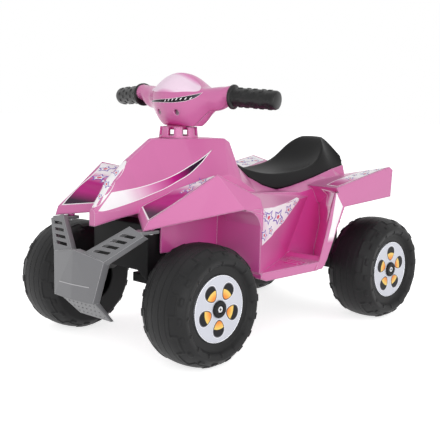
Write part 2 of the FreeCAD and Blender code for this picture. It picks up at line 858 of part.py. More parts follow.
def gear(teeth, phase, y, z, x_high, width):
    """A spur gear about X with straight-flanked teeth, one tooth pointing along phase."""
    pitch_radius = gear_module * teeth / 2
    tip = pitch_radius + gear_tip_share * gear_module
    root = pitch_radius - gear_root_share * gear_module
    step = 2 * math.pi / teeth
    points = []
    for k in range(teeth):
        angle = phase + k * step
        half_root = step * (1 - gear_backlash_share) / 2
        half_pitch = step * gear_backlash_share / 2
        half_tip = half_pitch / 2
        for radius, turn in ((root, -half_root), (pitch_radius, -half_pitch), (tip, -half_tip),
                             (tip, half_tip), (pitch_radius, half_pitch), (root, half_root)):
            at_y = y + radius * math.cos(angle + turn)
            at_z = z + radius * math.sin(angle + turn)
            points.append(vector(x_high - width, at_y, at_z))
    return flat_face(points).extrude(vector(width, 0, 0))


def mesh_phase(own_teeth, toward, other_teeth, other_phase):
    """Phase that puts a tooth gap on the line to the other gear's tooth nearest to that line."""
    other_step = 2 * math.pi / other_teeth
    back = toward + math.pi
    offset = (back - other_phase) / other_step
    offset = (offset - round(offset)) * other_step
    own_step = 2 * math.pi / own_teeth
    return toward + own_step / 2 - offset * other_teeth / own_teeth


output_phase = idler_angle
idler_small_phase = mesh_phase(idler_small_teeth, idler_angle + math.pi, output_teeth, output_phase)
idler_large_phase = pinion_angle
pinion_phase = mesh_phase(pinion_teeth, pinion_angle + math.pi, idler_large_teeth, idler_large_phase)


def make_output_gear():
    wheel = gear(output_teeth, output_phase, rear_axle_y, axle_z, second_gear_x, gear_width)
    sleeve = across(output_sleeve_diameter / 2, -wheel_inner_x + seat_gap, second_gear_x, rear_axle_y,
                    axle_z)
    bore = across(axle_diameter / 2 + running_clearance, -wheel_x, 0, rear_axle_y, axle_z)
    return wheel.fuse(sleeve).removeSplitter().cut(bore)


def make_idler():
    large = gear(idler_large_teeth, idler_large_phase, idler_y, idler_z, first_gear_x, gear_width)
    small = gear(idler_small_teeth, idler_small_phase, idler_y, idler_z, second_gear_x + gear_gap,
                 gear_width + gear_gap)
    bore = across(idler_pin_diameter / 2 + running_clearance, -wheel_x, 0, idler_y, idler_z)
    return large.fuse(small).removeSplitter().cut(bore)


def make_pinion():
    shaft = across(motor_shaft_diameter / 2, first_gear_x - gear_width, gearbox_inner_x + seat_gap,
                   pinion_y, pinion_z)
    toothed = gear(pinion_teeth, pinion_phase, pinion_y, pinion_z, first_gear_x, gear_width)
    return toothed.fuse(shaft).removeSplitter()


output_tip = gear_module * (output_teeth / 2 + gear_tip_share) + gearbox_room + gearbox_wall
idler_tip = gear_module * (idler_large_teeth / 2 + gear_tip_share) + gearbox_room + gearbox_wall
pinion_tip = gear_module * (pinion_teeth / 2 + gear_tip_share) + gearbox_room + gearbox_wall
gearbox_split_x = (gearbox_inner_x + gearbox_outer_x) / 2


def gearbox_block(shrink, x_low, x_high):
    """The case's outline, round each gear and straight between, less an even shrink."""
    drums = [across(radius - shrink, x_low, x_high, y, z) for radius, y, z in (
        (output_tip, rear_axle_y, axle_z), (idler_tip, idler_y, idler_z), (pinion_tip, pinion_y, pinion_z))]
    return joined(drums)


def make_gearbox():
    case = gearbox_block(0, gearbox_outer_x, gearbox_inner_x)
    room = gearbox_block(gearbox_wall, gearbox_outer_x + gearbox_wall, gearbox_inner_x - gearbox_wall)
    case = case.cut(room)
    sleeve_radius = output_sleeve_diameter / 2 + seat_gap
    case = case.cut(across(sleeve_radius, -wheel_x, second_gear_x, rear_axle_y, axle_z))
    case = case.cut(across(axle_diameter / 2 + running_clearance, -wheel_x, 0, rear_axle_y, axle_z))
    case = case.cut(across(idler_pin_diameter / 2 + running_clearance, -wheel_x, 0, idler_y, idler_z))
    case = case.cut(across(motor_nose_diameter / 2 + screw_clearance, first_gear_x, 0, pinion_y, pinion_z))
    cut = box(-wheel_x, gearbox_split_x, -overall_length, overall_length, 0, body_base_z + body_rise)
    return case.common(cut), case.cut(cut)


def make_motor():
    can = across(motor_diameter / 2, gearbox_inner_x, gearbox_inner_x + motor_length, pinion_y, pinion_z)
    nose = across(motor_nose_diameter / 2, gearbox_inner_x - gearbox_wall, gearbox_inner_x, pinion_y,
                  pinion_z)
    bore = across(motor_shaft_diameter / 2 + running_clearance, gearbox_inner_x - wheel_x,
                  gearbox_inner_x + seat_gap + cut_overrun, pinion_y, pinion_z)
    return can.fuse(nose).removeSplitter().cut(bore)


save(make_tray(), "chassis_tray")
save(make_body_screws(), "body_screws")
outer_case, inner_case = make_gearbox()
save(outer_case, "gearbox_outer_half")
save(inner_case, "gearbox_inner_half")
save(make_output_gear(), "output_gear")
save(make_idler(), "idler_gear")
save(make_pinion(), "motor_pinion")
save(make_motor(), "motor")
save(across(idler_pin_diameter / 2, gearbox_outer_x, gearbox_inner_x, idler_y, idler_z), "idler_pin")


# Rear axle

def make_rear_axle():
    axle = across(axle_diameter / 2, -wheel_x - axle_end, wheel_x + axle_end, rear_axle_y, axle_z)
    for side in (1, -1):
        axle = axle.cut(on_wheel(axle_screw_bore(), side, rear_axle_y))
    return axle


save(make_rear_axle(), "rear_axle")
save(Part.makeCompound([on_wheel(axle_screw, side, rear_axle_y) for side in (1, -1)]), "rear_axle_screws")


# Front bridge and bumper

bridge_front = bridge_rear - bridge_length
bridge_base_z = leg_base_z + bridge_arch_height
bumper_front = -overall_length / 2


def make_bridge():
    half_width = well_wall_share * body_half_width - body_wall - bridge_to_well
    arch_top = kingpin_x - bridge_arch_to_kingpin
    arch_foot = kingpin_x - bridge_arch_foot_to_kingpin
    core = box(-half_width, half_width, bridge_front, bridge_rear - leg_length / 4, leg_base_z,
               body_base_z + bridge_top_share * body_rise)
    leg_half_width = kingpin_x + leg_past_kingpin
    legs = box(-leg_half_width, leg_half_width, front_axle_y - leg_length / 2, bridge_rear, leg_base_z,
               leg_base_z + leg_height)
    arch = flat_face([vector(x, bridge_front - cut_overrun, z) for x, z in (
        (-arch_foot, leg_base_z - cut_overrun), (arch_foot, leg_base_z - cut_overrun),
        (arch_top, bridge_base_z), (-arch_top, bridge_base_z))])
    arch_room = arch.extrude(vector(0, bridge_length + 2 * cut_overrun, 0))
    bridge = core.fuse(legs).removeSplitter().cut(arch_room)
    for side in (1, -1):
        kingpin_hole = upright(kingpin_diameter / 2 + running_clearance, side * kingpin_x, front_axle_y, 0,
                               body_base_z * 2)
        bridge = bridge.cut(kingpin_hole)
    return bridge


bumper_shoulder_z = axle_z + bumper_top_above_axle - bumper_shoulder_drop
bumper_corner_y = bumper_front + bumper_corner_set_back
arm_top_y = bumper_corner_y + arm_set_back
lug_top_z = body_base_z + front_fender_shares[0][2][2] * body_rise - lug_gap
lug_end_y = arm_top_y + lug_length


def bumper_screw_places():
    """Where the bumper's lugs are screwed to the fenders, at the lugs' undersides."""
    lug_middle = body_half_width * (lug_inner_share + lug_outer_share) / 2
    screw_y = lug_end_y - lug_screw_from_end
    return [vector(side * lug_middle, screw_y, lug_top_z - lug_thickness) for side in (1, -1)]


def make_bumper_arm():
    """The left arm: a slotted channel from the plate's shoulder to the fender, with its lug."""
    foot_inner = vector(arm_foot_inner_x, bumper_corner_y, bumper_shoulder_z + arm_foot_inner_rise)
    foot_outer = vector(bumper_half_width, bumper_corner_y, bumper_shoulder_z)
    top_inner = vector(arm_top_inner_share * body_half_width, arm_top_y, lug_top_z + arm_inner_above_lug)
    top_outer = vector(arm_top_outer_share * body_half_width, arm_top_y, lug_top_z - arm_outer_below_lug)
    inward = (top_inner - foot_inner).cross(foot_outer - foot_inner)
    inward.normalize()
    deep = inward * arm_depth
    rings = [[inner, outer, outer + deep, inner + deep]
             for inner, outer in ((foot_inner, foot_outer), (top_inner, top_outer))]
    arm = ringed_block(rings).cut(ringed_block(inner_rings(rings, bumper_wall, (2,), False, False)))
    slot_pitch = 1.0 / (arm_slot_count + 1)
    for k in range(arm_slot_count):
        corners = []
        for edge in (-arm_slot_share / 2, arm_slot_share / 2):
            along_share = slot_pitch * (k + 1 + edge)
            inner = foot_inner + (top_inner - foot_inner) * (along_share - arm_slot_slant_share)
            outer = foot_outer + (top_outer - foot_outer) * (along_share + arm_slot_slant_share)
            rail = (outer - inner) * arm_rail_share
            corners.append([inner + rail, outer - rail])
        above = inward * -cut_overrun
        below = inward * (bumper_wall + cut_overrun)
        rings = [[near + above, far + above, far + below, near + below] for near, far in corners]
        arm = arm.cut(ringed_block(rings))
    lug = box(lug_inner_share * body_half_width, lug_outer_share * body_half_width, arm_top_y, lug_end_y,
              lug_top_z - lug_thickness, lug_top_z)
    return joined([arm, lug])


def make_bumper():
    top_z = axle_z + bumper_top_above_axle
    foot_z = top_z - bumper_height
    foot_y = bumper_front + bumper_foot_set_back
    half = [vector(0, foot_y, top_z), vector(bumper_half_width, bumper_corner_y, bumper_shoulder_z),
            vector(bumper_foot_half_width, foot_y, foot_z), vector(0, bumper_front, foot_z)]
    front = half + [vector(-p.x, p.y, p.z) for p in (half[2], half[1])]
    back = [vector(p.x, p.y + bumper_side_depth, p.z) for p in front]
    plate = ringed_block([front, back])
    plate = plate.cut(ringed_block(inner_rings([front, back], bumper_wall, (), False, True)))
    skid_front_z = foot_z + bumper_wall
    skid_back_y = foot_y + skid_length
    skid = ringed_block([
        [vector(-bumper_foot_half_width + bumper_wall, foot_y + bumper_wall, skid_front_z),
         vector(bumper_foot_half_width - bumper_wall, foot_y + bumper_wall, skid_front_z),
         vector(bumper_foot_half_width - bumper_wall, foot_y + bumper_side_depth, skid_front_z),
         vector(-bumper_foot_half_width + bumper_wall, foot_y + bumper_side_depth, skid_front_z)],
        [vector(-skid_half_width, skid_back_y, foot_z - skid_drop),
         vector(skid_half_width, skid_back_y, foot_z - skid_drop),
         vector(skid_half_width, skid_back_y + skid_thickness, foot_z - skid_drop),
         vector(-skid_half_width, skid_back_y + skid_thickness, foot_z - skid_drop)]])
    bumper = joined([plate, skid] + both_sides(make_bumper_arm()))
    for place in bumper_screw_places():
        start = place - vector(0, 0, cut_overrun)
        bumper = bumper.cut(screw_hole(start, vector(0, 0, 1), lug_thickness + 2 * cut_overrun))
    return bumper


save(make_bridge(), "front_bridge")
save(make_bumper(), "front_bumper")
bumper_screws = [pan_screw(place, vector(0, 0, 1), bumper_screw_length) for place in bumper_screw_places()]
save(Part.makeCompound(bumper_screws), "bumper_screws")


# Steering

pin_top_z = steering_plate_z + steering_plate_thickness + link_thickness + 2 * link_pin_clearance
link_z = steering_plate_z + steering_plate_thickness + seat_gap


def steering_arm(x, y):
    """A flat arm from a pivot to its pin, pointing to the rear."""
    half = steering_arm_width / 2
    thickness = steering_plate_thickness
    plate = joined([
        box(x - half, x + half, y, y + steering_arm_length, steering_plate_z, steering_plate_z + thickness),
        upright(half, x, y, steering_plate_z, steering_plate_z + thickness),
        upright(half, x, y + steering_arm_length, steering_plate_z, steering_plate_z + thickness)])
    pin = upright(steering_pin_diameter / 2, x, y + steering_arm_length, steering_plate_z, pin_top_z)
    return plate.fuse(pin).removeSplitter()


def make_knuckle():
    half = knuckle_width / 2
    top = leg_base_z - seat_gap
    block = box(kingpin_x - half, kingpin_x + half, front_axle_y - half, front_axle_y + half,
                top - knuckle_height, top)
    kingpin = upright(kingpin_diameter / 2, kingpin_x, front_axle_y, top - knuckle_height / 2,
                      steering_plate_z + steering_plate_thickness)
    collar = across(stub_collar_diameter / 2, kingpin_x, wheel_inner_x - seat_gap, front_axle_y, axle_z)
    knuckle = joined([block, kingpin, collar, steering_arm(kingpin_x, front_axle_y)])
    bore_radius = axle_diameter / 2 + running_clearance
    return knuckle.cut(across(bore_radius, kingpin_x - half + tray_wall, wheel_x, front_axle_y, axle_z))


def make_stub_axle():
    inner = kingpin_x - knuckle_width / 2 + tray_wall
    axle = across(axle_diameter / 2, inner, wheel_x + axle_end, front_axle_y, axle_z)
    return axle.cut(on_wheel(axle_screw_bore(), 1, front_axle_y))


def make_link():
    y0 = front_axle_y + steering_arm_length
    y1 = column_y + steering_arm_length
    half = link_width / 2
    z1 = link_z + link_thickness
    bar = box(-kingpin_x, kingpin_x, y0 - half, y0 + half, link_z, z1)
    ends = [upright(half, side * kingpin_x, y0, link_z, z1) for side in (1, -1)]
    tongue = box(-link_tongue_half_width, link_tongue_half_width, y0, y1 + half, link_z, z1)
    slot = box(-link_slot_half_width, link_slot_half_width, column_y - link_slot_length / 2,
               column_y + link_slot_length / 2, link_z - cut_overrun, z1 + cut_overrun)
    link = joined([bar, tongue] + ends).cut(slot)
    for x, y, clearance in ((kingpin_x, y0, link_pin_clearance), (-kingpin_x, y0, link_pin_clearance),
                            (0, y1, running_clearance)):
        radius = steering_pin_diameter / 2 + clearance
        link = link.cut(upright(radius, x, y, link_z - cut_overrun, z1 + cut_overrun))
    return link


def make_column():
    top = bar_z - bar_diameter / 2 - column_top_gap
    rod = upright(column_diameter / 2, 0, column_y, tray_floor_z + seat_gap, top)
    sleeve = upright(column_sleeve_diameter / 2 - seat_gap * 2, 0, column_y,
                     pod_base_z - column_sleeve_height, pod_base_z)
    return rod.fuse(sleeve).removeSplitter()


def make_crank():
    return steering_arm(0, column_y).cut(
        upright(column_diameter / 2 + screw_clearance, 0, column_y, steering_plate_z - cut_overrun,
                pin_top_z))


def make_column_bush():
    outer = upright(column_bush_diameter / 2 - screw_clearance, 0, column_y, tray_floor_z,
                    tray_base_z + column_boss_height)
    return outer.cut(upright(column_diameter / 2 + running_clearance, 0, column_y, 0, body_base_z * 2))


def make_collar():
    base = hood_top_z
    foot = vector(0, column_y, base)
    outer = Part.makeCone(collar_diameter / 2, collar_top_diameter / 2, collar_height, foot)
    inner = upright(collar_top_diameter / 2 - collar_wall, 0, column_y, base - cut_overrun,
                    base + collar_height + cut_overrun)
    collar = outer.cut(inner)
    window_half = collar_window_width / 2
    for k in range(collar_window_cuts):
        degrees = collar_half_turn * (2 * k + 1) / (2 * collar_window_cuts)
        window = box(-collar_diameter, collar_diameter, -window_half, window_half,
                     base + collar_base_height, base + collar_height + cut_overrun)
        window.rotate(vector(0, 0, 0), vector(0, 0, 1), degrees)
        collar = collar.cut(window.translated(vector(0, column_y, 0)))
    return collar


knuckle = make_knuckle()
stub_axle = make_stub_axle()
for side_name, side in (("left", 1), ("right", -1)):
    save(knuckle if side > 0 else mirrored(knuckle), side_name + "_knuckle")
    save(stub_axle if side > 0 else mirrored(stub_axle), side_name + "_stub_axle")
    save(on_wheel(axle_screw, side, front_axle_y), "front_" + side_name + "_axle_screw")
save(make_link(), "track_link")
save(make_column(), "steering_column")
save(make_crank(), "steering_crank")
save(make_column_bush(), "column_bush")
save(make_collar(), "column_collar")


# Handlebar

sweep = math.radians(bar_sweep_degrees)
drop = math.radians(bar_drop_degrees)
bar_middle = vector(0, bar_y, bar_z)
bar_direction = vector(math.cos(sweep) * math.cos(drop), math.sin(sweep) * math.cos(drop), -math.sin(drop))


def half_space(low_x, high_x):
    return box(low_x, high_x, -overall_length, overall_length, 0, bar_z + body_rise)


def bar_rod(radius, start, length):
    """A round rod along the left half of the bent bar."""
    return cylinder(radius, bar_middle + bar_direction * start, bar_direction, length)


def make_bar():
    half = bar_rod(bar_diameter / 2, -bar_diameter, bar_diameter + bar_half_length - grip_end_wall)
    half = half.common(half_space(0, wheelbase))
    return half.fuse(mirrored(half)).removeSplitter()


def make_grip():
    start = bar_half_length - grip_length
    body = bar_rod(grip_diameter / 2, start, grip_length)
    flange = bar_rod(grip_flange_diameter / 2, start, grip_flange_thickness)
    pieces = [body, flange]
    rib_span = grip_length - grip_flange_thickness - grip_rib_width
    for k in range(grip_rib_count):
        at = start + grip_flange_thickness + rib_span * (k + 0.5) / grip_rib_count
        pieces.append(bar_rod(grip_diameter / 2 + grip_rib_height, at, grip_rib_width))
    bore = bar_rod(bar_diameter / 2 + screw_clearance, start - cut_overrun,
                   grip_length - grip_end_wall + cut_overrun)
    return joined(pieces).cut(bore)


def pod_section(place, rise_share, drop_share, depth_share, shrink):
    """One upright oval of the pod, square to X, at a share of its half width."""
    x = place * pod_half_width
    on_bar = bar_middle + bar_direction * (abs(x) / bar_direction.x)
    rise = pod_rise * rise_share - shrink
    drop = pod_drop * drop_share - shrink
    depth = pod_depth * depth_share / 2 - shrink
    blend = 1 - abs(place)
    centre = vector(x, on_bar.y + blend * (bar_ahead_of_column + pod_behind_column), on_bar.z)
    points = []
    for k in range(pod_section_points):
        angle = 2 * math.pi * k / pod_section_points
        height = rise if math.sin(angle) > 0 else drop
        points.append(centre + vector(0, depth * math.cos(angle), height * math.sin(angle)))
    oval = Part.BSplineCurve()
    oval.interpolate(points, PeriodicFlag=True)
    return Part.Wire([oval.toShape()])


def pod_block(shrink, end_stretch):
    arm_radius = pod_arm_diameter / 2
    half = pod_section_shares + [
        (1.0 + end_stretch, arm_radius / pod_rise, arm_radius / pod_drop, pod_arm_diameter / pod_depth)]
    full = [(-row[0],) + row[1:] for row in reversed(half[1:])] + half
    return Part.makeLoft([pod_section(*row, shrink) for row in full], True, False)


def pod_screw_axes():
    return [vector(side * pod_screw_spacing / 2, 0, pod_base_z + pod_screw_above_base) for side in (1, -1)]


pod_screw_front = column_y - pod_depth / 4
pod_screw_length = pod_depth / 4 + pod_boss_diameter


def pod_front_room():
    """Everything ahead of the bent bar's own line, where the two covers part."""
    side_y = bar_y + wheelbase * bar_direction.y / bar_direction.x
    corners = [vector(-wheelbase, -overall_length, 0), vector(wheelbase, -overall_length, 0),
               vector(wheelbase, side_y, 0), vector(0, bar_y, 0), vector(-wheelbase, side_y, 0)]
    outline = Part.Face(Part.makePolygon(corners + corners[:1]))
    return outline.extrude(vector(0, 0, bar_z + body_rise))


def make_pod_covers():
    outer = pod_block(0, 0)
    shell = outer.cut(pod_block(pod_wall, cut_overrun / pod_half_width))
    bosses = []
    for at in pod_screw_axes():
        boss = along(pod_boss_diameter / 2, at.x, at.z, column_y - pod_depth, column_y + pod_depth)
        bosses.append(boss.common(outer))
    shell = joined([shell] + bosses)
    trimmed = box(-wheelbase, wheelbase, -overall_length, overall_length, 0, pod_base_z)
    shell = shell.cut(trimmed)
    shell = shell.cut(upright(column_diameter / 2 + seat_gap, 0, column_y, 0, bar_z))
    tube = bar_rod(bar_diameter / 2 + seat_gap, -bar_diameter, bar_half_length + bar_diameter)
    shell = shell.cut(tube).cut(mirrored(tube))
    beyond = bar_rod(pod_depth, bar_half_length - grip_length - seat_gap, grip_length)
    shell = shell.cut(beyond).cut(mirrored(beyond))
    for at in pod_screw_axes():
        head_radius = screw_head_diameter / 2 + seat_gap
        shell = shell.cut(along(head_radius, at.x, at.z, column_y - pod_depth, pod_screw_front))
        start = vector(at.x, pod_screw_front, at.z)
        shell = shell.cut(screw_hole(start, vector(0, 1, 0), pod_screw_length + screw_clearance))
    front_room = pod_front_room()
    return shell.common(front_room), shell.cut(front_room)


def make_pod_screws():
    starts = [vector(at.x, pod_screw_front, at.z) for at in pod_screw_axes()]
    return Part.makeCompound([pan_screw(start, vector(0, 1, 0), pod_screw_length) for start in starts])


def make_clamp():
    half = clamp_depth / 2
    middle_y = (bar_y + column_y) / 2
    top = bar_z + bar_diameter / 2 + tray_wall
    block = box(-clamp_width / 2, clamp_width / 2, middle_y - half, middle_y + half, top - clamp_height, top)
    tube = bar_rod(bar_diameter / 2 + running_clearance, -bar_diameter * 2, bar_half_length)
    block = block.cut(tube).cut(mirrored(tube))
    return block.cut(upright(column_diameter / 2 + running_clearance, 0, column_y, 0, bar_z))


front_cover, rear_cover = make_pod_covers()
save(front_cover, "handlebar_front_cover")
save(rear_cover, "handlebar_rear_cover")
save(make_pod_screws(), "handlebar_screws")
save(make_clamp(), "handlebar_clamp")
save(make_bar(), "handlebar_tube")
grip = make_grip()
save(grip, "left_grip")
save(mirrored(grip), "right_grip")


# Battery

def make_battery():
    base = tray_floor_z + seat_gap
    case = box(-battery_width / 2, battery_width / 2, battery_front, battery_front + battery_length, base,
               base + battery_height)
    posts = [box(x - terminal_size / 2, x + terminal_size / 2, battery_front + terminal_size,
                 battery_front + 2 * terminal_size, base + battery_height,
                 base + battery_height + terminal_size)
             for x in (-battery_width / 4, battery_width / 4)]
    return joined([case] + posts)


def make_strap():
    base = tray_floor_z
    middle_y = battery_front + battery_length / 2
    top = tray_floor_z + seat_gap + battery_height + seat_gap
    room_half = battery_width / 2 + seat_gap
    outer_half = room_half + strap_thickness
    outer = box(-outer_half, outer_half, middle_y - strap_width / 2, middle_y + strap_width / 2, base,
                top + strap_thickness)
    room = box(-room_half, room_half, middle_y - strap_width, middle_y + strap_width, base - cut_overrun,
               top)
    return outer.cut(room)


save(make_battery(), "battery")
save(make_strap(), "battery_strap")


# Foot pedal

pedal_x = pedal_from_side - body_half_width
pedal_pin_y = body_point(footboard_shares[2][2]).y - pedal_before_floor_end
pedal_floor_z = body_base_z + footboard_shares[2][2][2] * body_rise
pedal_pin_z = pedal_floor_z + pedal_pin_height
pedal_axis = vector(pedal_x, pedal_pin_y, pedal_pin_z)


def pedal_bore():
    """The hole for the pedal's pin through pedal and bracket."""
    radius = pedal_pin_diameter / 2 + running_clearance
    return across(radius, pedal_x - pedal_width, pedal_x + pedal_width, pedal_pin_y, pedal_pin_z)


def make_pedal():
    half = pedal_width / 2
    plate = box(pedal_x - half, pedal_x + half, pedal_pin_y - pedal_length, pedal_pin_y,
                pedal_pin_z, pedal_pin_z + pedal_thickness)
    plate.rotate(pedal_axis, vector(1, 0, 0), -pedal_tilt_degrees)
    barrel = across(pedal_knuckle_diameter / 2, pedal_x - half, pedal_x + half, pedal_pin_y, pedal_pin_z)
    return plate.fuse(barrel).removeSplitter().cut(pedal_bore())


def pedal_plate(margin):
    """The bracket's base plate, with a margin round it for its seat among the floor ribs."""
    reach = pedal_width / 2 + seat_gap + pedal_ear_thickness + margin
    return box(pedal_x - reach, pedal_x + reach, pedal_pin_y - pedal_length / 2 - margin,
               pedal_pin_y + pedal_knuckle_diameter / 2 + margin, pedal_floor_z,
               pedal_floor_z + pedal_base_thickness)


def make_pedal_base():
    half = pedal_width / 2 + seat_gap
    outer = half + pedal_ear_thickness
    plate = pedal_plate(0)
    radius = pedal_knuckle_diameter / 2
    ears = [box(pedal_x + low, pedal_x + low + pedal_ear_thickness, pedal_pin_y - radius,
                pedal_pin_y + radius, pedal_floor_z, pedal_pin_z + radius)
            for low in (half, -outer)]
    base = joined([plate] + ears)
    return base.cut(pedal_bore())


pedal_reach = pedal_width / 2 + seat_gap + pedal_ear_thickness
save(make_pedal(), "pedal")
save(make_pedal_base(), "pedal_base")
pedal_pin = across(pedal_pin_diameter / 2, pedal_x - pedal_reach, pedal_x + pedal_reach, pedal_pin_y,
                   pedal_pin_z)
save(pedal_pin, "pedal_pin")


def make_spring():
    """The coil that lifts the pedal, between the bracket's base and the pedal's underside."""
    base = pedal_floor_z + pedal_base_thickness + spring_wire / 2
    near_edge = spring_from_pin - spring_diameter / 2
    height = pedal_pin_height - pedal_base_thickness + near_edge * math.tan(math.radians(pedal_tilt_degrees))
    rise = height - spring_wire - seat_gap
    coil_radius = (spring_diameter - spring_wire) / 2
    centre = vector(pedal_x - spring_to_side, pedal_pin_y - spring_from_pin, base)
    path = Part.Wire(Part.makeHelix(rise / spring_turns, rise, coil_radius).Edges)
    circle = Part.Circle(vector(coil_radius, 0, 0), vector(0, 1, 0), spring_wire / 2)
    coil = path.makePipeShell([Part.Wire([circle.toShape()])], True, True)
    return Part.Solid(coil).translated(centre) if coil.ShapeType == "Shell" else coil.translated(centre)


def make_switch():
    low_y = pedal_pin_y - pedal_length / 2
    low_x = pedal_x + switch_to_side
    base = pedal_floor_z + pedal_base_thickness
    case = box(low_x, low_x + switch_width, low_y, low_y + switch_length, base, base + switch_height)
    button = upright(switch_button_diameter / 2, low_x + switch_width / 2, low_y + switch_length / 4,
                     base + switch_height, base + switch_height + switch_button_height)
    return joined([case, button])


save(make_spring(), "pedal_spring")
save(make_switch(), "pedal_switch")


# Leads between battery and motor

def lead(points):
    """A round lead through points: straight runs joined by arcs that touch both runs."""
    edges = []
    at = points[0]
    for before, corner, after in zip(points, points[1:], points[2:]):
        to_before = before - corner
        to_after = after - corner
        shorter = min(to_before.Length, to_after.Length)
        to_before.normalize()
        to_after.normalize()
        cut = lead_arc_share * shorter
        first = corner + to_before * cut
        last = corner + to_after * cut
        half_angle = to_before.getAngle(to_after) / 2
        inward = to_before + to_after
        inward.normalize()
        radius = cut * math.tan(half_angle)
        centre = corner + inward * (cut / math.cos(half_angle))
        edges.append(Part.LineSegment(at, first).toShape())
        edges.append(Part.Arc(first, centre - inward * radius, last).toShape())
        at = last
    edges.append(Part.LineSegment(at, points[-1]).toShape())
    start = Part.Circle(points[0], points[1] - points[0], lead_diameter / 2)
    return Part.Wire(edges).makePipeShell([Part.Wire([start.toShape()])], True, False)


def make_leads():
    top = tray_floor_z + seat_gap + battery_height + terminal_size
    post_y = battery_front + terminal_size * 1.5
    motor_end = gearbox_inner_x + motor_length
    leads = []
    for post_x, end_x in ((battery_width / 4, motor_end - lead_from_motor_end),
                          (-battery_width / 4, motor_end - lead_from_motor_end - lead_spacing)):
        leads.append(lead([
            vector(post_x, post_y, top),
            vector(post_x, post_y, top + lead_rise),
            vector(end_x, pinion_y, top + lead_rise),
            vector(end_x, pinion_y, pinion_z + motor_diameter / 2 + seat_gap)]))
    return leads


live_lead, return_lead = make_leads()
save(live_lead, "live_lead")
save(return_lead, "return_lead")
save(make_body_shell(), "body_shell")
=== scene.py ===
import json
import math

import bmesh
import bpy
from mathutils import Matrix, Vector
from mathutils.bvhtree import BVHTree


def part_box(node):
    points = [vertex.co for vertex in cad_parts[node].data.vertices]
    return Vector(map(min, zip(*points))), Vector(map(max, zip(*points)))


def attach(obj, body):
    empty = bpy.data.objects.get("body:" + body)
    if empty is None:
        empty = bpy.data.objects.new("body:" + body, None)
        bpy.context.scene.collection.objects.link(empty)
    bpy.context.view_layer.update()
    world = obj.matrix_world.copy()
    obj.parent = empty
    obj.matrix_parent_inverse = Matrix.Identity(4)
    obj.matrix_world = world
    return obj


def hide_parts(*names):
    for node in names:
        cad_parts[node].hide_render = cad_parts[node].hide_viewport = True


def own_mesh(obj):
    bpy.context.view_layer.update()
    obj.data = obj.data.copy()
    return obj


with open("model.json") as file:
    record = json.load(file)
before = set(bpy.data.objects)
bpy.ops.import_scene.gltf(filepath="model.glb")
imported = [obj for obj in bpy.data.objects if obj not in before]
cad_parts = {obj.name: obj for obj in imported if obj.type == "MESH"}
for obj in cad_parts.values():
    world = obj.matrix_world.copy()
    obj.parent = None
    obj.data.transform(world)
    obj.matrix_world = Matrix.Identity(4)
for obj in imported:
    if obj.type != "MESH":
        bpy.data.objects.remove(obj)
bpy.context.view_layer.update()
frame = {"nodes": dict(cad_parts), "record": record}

bl_info = {
    "name": "Kids quad bike",
    "version": (1, 0, 0),
    "blender": (4, 5, 0),
    "location": "View3D > Sidebar > Quad Bike",
    "description": "Mouldings, wheels, prints and studio for a child's battery quad bike",
    "category": "Object",
}

MM = 0.001
sides = ((1, "left"), (-1, "right"))


def colour(hex_code):
    """Linear RGBA from an sRGB hex value."""
    values = [int(hex_code[k:k + 2], 16) / 255 for k in (0, 2, 4)]
    linear = [v / 12.92 if v <= 0.04045 else ((v + 0.055) / 1.055) ** 2.4 for v in values]
    return tuple(linear) + (1.0,)


def swatch(name, description, hex_code):
    return bpy.props.FloatVectorProperty(name=name, description=description, subtype="COLOR", size=4, min=0.0,
                                         max=1.0, default=colour(hex_code))


def length(name, description, millimetres):
    return bpy.props.FloatProperty(name=name, description=description, default=millimetres * MM, min=0.0,
                                   unit="LENGTH", precision=4)


class QuadColours(bpy.types.PropertyGroup):
    """Colours of the mouldings and prints."""
    pink: swatch("Pink", "Body and handlebar mouldings", "D070A7")
    # Painted light: a brighter, deeper pink painted where the body's walls face each other
    painted_recess_pink: swatch("Painted recess pink", "Body moulding where walls face each other", "E84DAF")
    deep_pink: swatch("Deep pink", "Sleeve under the handlebar", "B8327F")
    # Pale pink is a painted highlight along moulded edges and a painted reflection on the pod's dome, and one
    # stop of the shield print's fade
    pale_pink: swatch("Pale pink", "Dome of the handlebar pod and light along moulded edges", "F3DAEC")
    black: swatch("Black", "Chassis and bridge", "161617")
    tyre_black: swatch("Tyre black", "Wheels", "1A1A1B")
    seat_black: swatch("Seat black", "Moulded saddle", "0D0D0E")
    grip_black: swatch("Grip black", "Handlebar grips", "101011")
    grey: swatch("Grey", "Front bumper", "77777A")
    silver: swatch("Silver", "Printed wheel discs", "CFD1DB")
    print_white: swatch("Print white", "Ground of the printed decals", "FBF8FB")
    print_pink: swatch("Print pink", "Pale end of the decal fades", "DE86BC")
    print_magenta: swatch("Print magenta", "Strong part of the decal fades", "B81580")
    print_plum: swatch("Print plum", "Dark end of the decal fades", "2A0A2A")
    print_violet: swatch("Print violet", "Outlines of the small motifs", "7A5BC0")
    print_coral: swatch("Print coral", "Middles of the small motifs", "E0607A")
    print_orange: swatch("Print orange", "Windows of the wheel discs near the hub", "F08A24")
    print_yellow: swatch("Print yellow", "Windows of the wheel discs further out", "F7CF63")


class QuadSizes(bpy.types.PropertyGroup):
    """Sizes of the dressing, the forms themselves come from the frame."""
    edge_round: length("Edge round", "Radius of the soft moulded edges", 5.0)
    # Reach of the painted light in recesses
    painted_recess_reach: length("Painted recess reach", "Distance to a facing wall that deepens the pink", 90.0)
    edge_line: length("Edge line", "Width of the light along moulded edges", 1.3)
    tread_depth: length("Tread depth", "Height of the raised lines on the tyres", 1.1)
    print_lift: length("Print lift", "Height of a decal above the moulding", 0.3)
    print_border: length("Print border", "White border round the decals", 2.4)
    grip_block: length("Grip block", "Height of the blocks on the grips", 1.0)
    stud: length("Stud", "Radius of the studs on skid and footboards", 1.6)


def colours():
    return bpy.context.scene.quad_colours


def sizes():
    return bpy.context.scene.quad_sizes


# Materials

# Sizes of the patterns in millimetres, noise scales are 1000 over such a size
flow_mm = 140.0
dot_mm = 1.2
